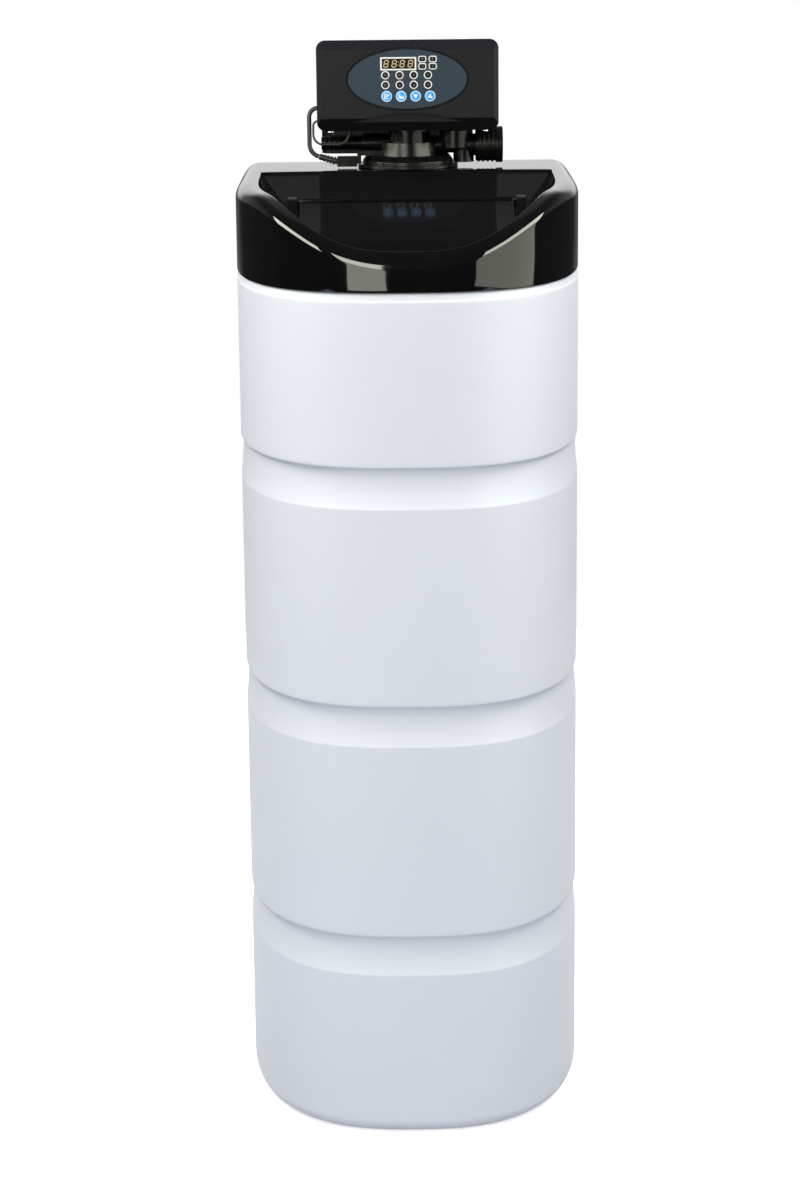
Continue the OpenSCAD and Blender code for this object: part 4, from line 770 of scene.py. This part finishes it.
def floor():
    half = FLOOR_HALF
    corners = [(-half, -half, 0), (half, -half, 0), (half, half, 0), (-half, half, 0)]
    obj = add_mesh("floor", corners, [(0, 1, 2, 3)])
    obj.location.z = -FLOOR_DOWN
    material = bpy.data.materials.new("floor_white")
    material.use_nodes = True
    tree = material.node_tree
    shader = tree.nodes["Principled BSDF"]
    shader.inputs["Roughness"].default_value = 0.9
    shader.inputs["Specular IOR Level"].default_value = 0.0
    path = tree.nodes.new("ShaderNodeLightPath")
    base = tree.nodes.new("ShaderNodeMix")
    base.data_type = "RGBA"
    base.inputs["A"].default_value = (0.86, 0.86, 0.86, 1)
    base.inputs["B"].default_value = (0.40, 0.41, 0.48, 1)
    tree.links.new(path.outputs["Is Diffuse Ray"], base.inputs["Factor"])
    tree.links.new(base.outputs["Result"], shader.inputs["Base Color"])
    seen = tree.nodes.new("ShaderNodeMath")
    seen.operation = "MAXIMUM"
    shown = tree.nodes.new("ShaderNodeMath")
    shown.operation = "MAXIMUM"
    tree.links.new(path.outputs["Is Camera Ray"], seen.inputs[0])
    tree.links.new(path.outputs["Is Glossy Ray"], seen.inputs[1])
    tree.links.new(seen.outputs[0], shown.inputs[0])
    tree.links.new(path.outputs["Is Transmission Ray"], shown.inputs[1])
    glow = tree.nodes.new("ShaderNodeMath")
    glow.operation = "MULTIPLY"
    glow.inputs[1].default_value = FLOOR_GLOW
    tree.links.new(shown.outputs[0], glow.inputs[0])
    shader.inputs["Emission Color"].default_value = (1, 1, 1, 1)
    tree.links.new(glow.outputs[0], shader.inputs["Emission Strength"])
    obj.data.materials.append(material)


def surroundings():
    """White for the camera; in reflections white behind the object between dark flags, and dim in front."""
    world = bpy.data.worlds.new("studio")
    scene.world = world
    world.use_nodes = True
    tree = world.node_tree
    tree.nodes.clear()
    output = tree.nodes.new("ShaderNodeOutputWorld")
    path = tree.nodes.new("ShaderNodeLightPath")
    coords = tree.nodes.new("ShaderNodeTexCoord")
    split = tree.nodes.new("ShaderNodeSeparateXYZ")
    tree.links.new(coords.outputs["Generated"], split.inputs[0])

    def ramp(source, low, high, to_low, to_high):
        node = tree.nodes.new("ShaderNodeMapRange")
        node.interpolation_type = "SMOOTHSTEP"
        for socket, value in (("From Min", low), ("From Max", high), ("To Min", to_low), ("To Max", to_high)):
            node.inputs[socket].default_value = value
        tree.links.new(source, node.inputs["Value"])
        return node.outputs["Result"]

    def product(a, b):
        node = tree.nodes.new("ShaderNodeMath")
        node.operation = "MULTIPLY"
        tree.links.new(a, node.inputs[0])
        tree.links.new(b, node.inputs[1])
        return node.outputs[0]

    def background(color, strength_source=None, strength=1.0):
        node = tree.nodes.new("ShaderNodeBackground")
        node.inputs["Color"].default_value = (*color, 1)
        node.inputs["Strength"].default_value = strength
        if strength_source:
            tree.links.new(strength_source, node.inputs["Strength"])
        return node.outputs[0]

    def mixed(factor, a, b):
        node = tree.nodes.new("ShaderNodeMixShader")
        tree.links.new(factor, node.inputs[0])
        tree.links.new(a, node.inputs[1])
        tree.links.new(b, node.inputs[2])
        return node.outputs[0]

    aside = tree.nodes.new("ShaderNodeMath")
    aside.operation = "ABSOLUTE"
    tree.links.new(split.outputs["X"], aside.inputs[0])
    behind = ramp(split.outputs["Y"], 0.05, 0.35, 0.02, 1.0)
    between_flags = ramp(aside.outputs[0], 0.20, 0.42, 1.0, 0.2)
    above_floor = ramp(split.outputs["Z"], -0.06, 0.03, 0.12, 1.0)
    below_roof = ramp(split.outputs["Z"], 0.22, 0.60, 1.0, 0.2)
    level_band = product(above_floor, below_roof)
    reflected = background((1, 1, 1), product(product(behind, between_flags), level_band))
    front = ramp(split.outputs["Y"], -0.9, 0.9, 0.86, 0.42)
    upper = ramp(split.outputs["Z"], -0.6, 0.8, 0.70, 1.05)
    sides = ramp(aside.outputs[0], 0.3, 1.0, 1.0, 0.25)
    soft = background((0.965, 0.975, 1.020), product(product(front, upper), sides))
    seen = background((1, 1, 1))
    inside = mixed(path.outputs["Is Glossy Ray"], soft, reflected)
    through = mixed(path.outputs["Is Transmission Ray"], inside, seen)
    tree.links.new(mixed(path.outputs["Is Camera Ray"], through, seen), output.inputs["Surface"])


def soft_box(name, left, up, away, size, glow, target=(0, -0.24, 0.86), color=(1, 1, 1), glossy=True):
    """Area light at angles to the left of the front and above level, seen from a target.

    It shows either in reflections only, or in the light it throws only. Its glow is 1 for white.
    """
    a, e = math.radians(left), math.radians(up)
    toward = Vector((-math.sin(a) * math.cos(e), -math.cos(a) * math.cos(e), math.sin(e)))
    data = bpy.data.lights.new(name, "AREA")
    data.shape = "RECTANGLE"
    data.size, data.size_y = size
    data.energy = glow * math.pi * size[0] * size[1]
    data.color = color
    obj = bpy.data.objects.new(name, data)
    scene.collection.objects.link(obj)
    obj.location = Vector(target) + away * toward
    obj.rotation_euler = (-toward).to_track_quat("-Z", "Y").to_euler()
    obj.visible_camera = False
    obj.visible_diffuse = not glossy
    obj.visible_glossy = glossy


floor()
surroundings()
warm = (0.97, 1.0, 0.85)
soft_box("box_front_left", 18, -7, 2.5, (1.05, 1.34), 4.8, color=warm)
soft_box("box_front_left_top", 18, 19, 2.5, (1.05, 1.0), 12.0, color=warm)
soft_box("box_right", -66, -7, 1.8, (2.25, 1.0), 2.6, (0.09, -0.22, 0.86), warm)
soft_box("box_right_top", -66, 19, 1.8, (2.25, 0.75), 12.0, (0.09, -0.22, 0.86), warm)
soft_box("box_left_top", 70, 19, 1.8, (1.72, 0.75), 14.0, (-0.09, -0.22, 0.86), warm)
soft_box("key_top", 12, 63, 2.8, (1.8, 1.8), 3.9, (0, 0, 0.7), (1.0, 0.985, 0.94), glossy=False)
soft_box("fill_left", 80, 40, 1.3, (0.7, 0.7), 8.2, (0, 0, 0.9), glossy=False)
soft_box("fill_right", -80, 40, 1.3, (0.7, 0.7), 8.5, (0, 0, 0.9), glossy=False)
soft_box("fill_front", 8, 25, 2.5, (1.4, 1.4), 1.1, (0, 0, 0.8), glossy=False)
soft_box("fill_back", 180, 35, 2.2, (1.2, 1.2), 3.0, (0, 0, 0.6), (1.0, 0.985, 0.95), glossy=False)
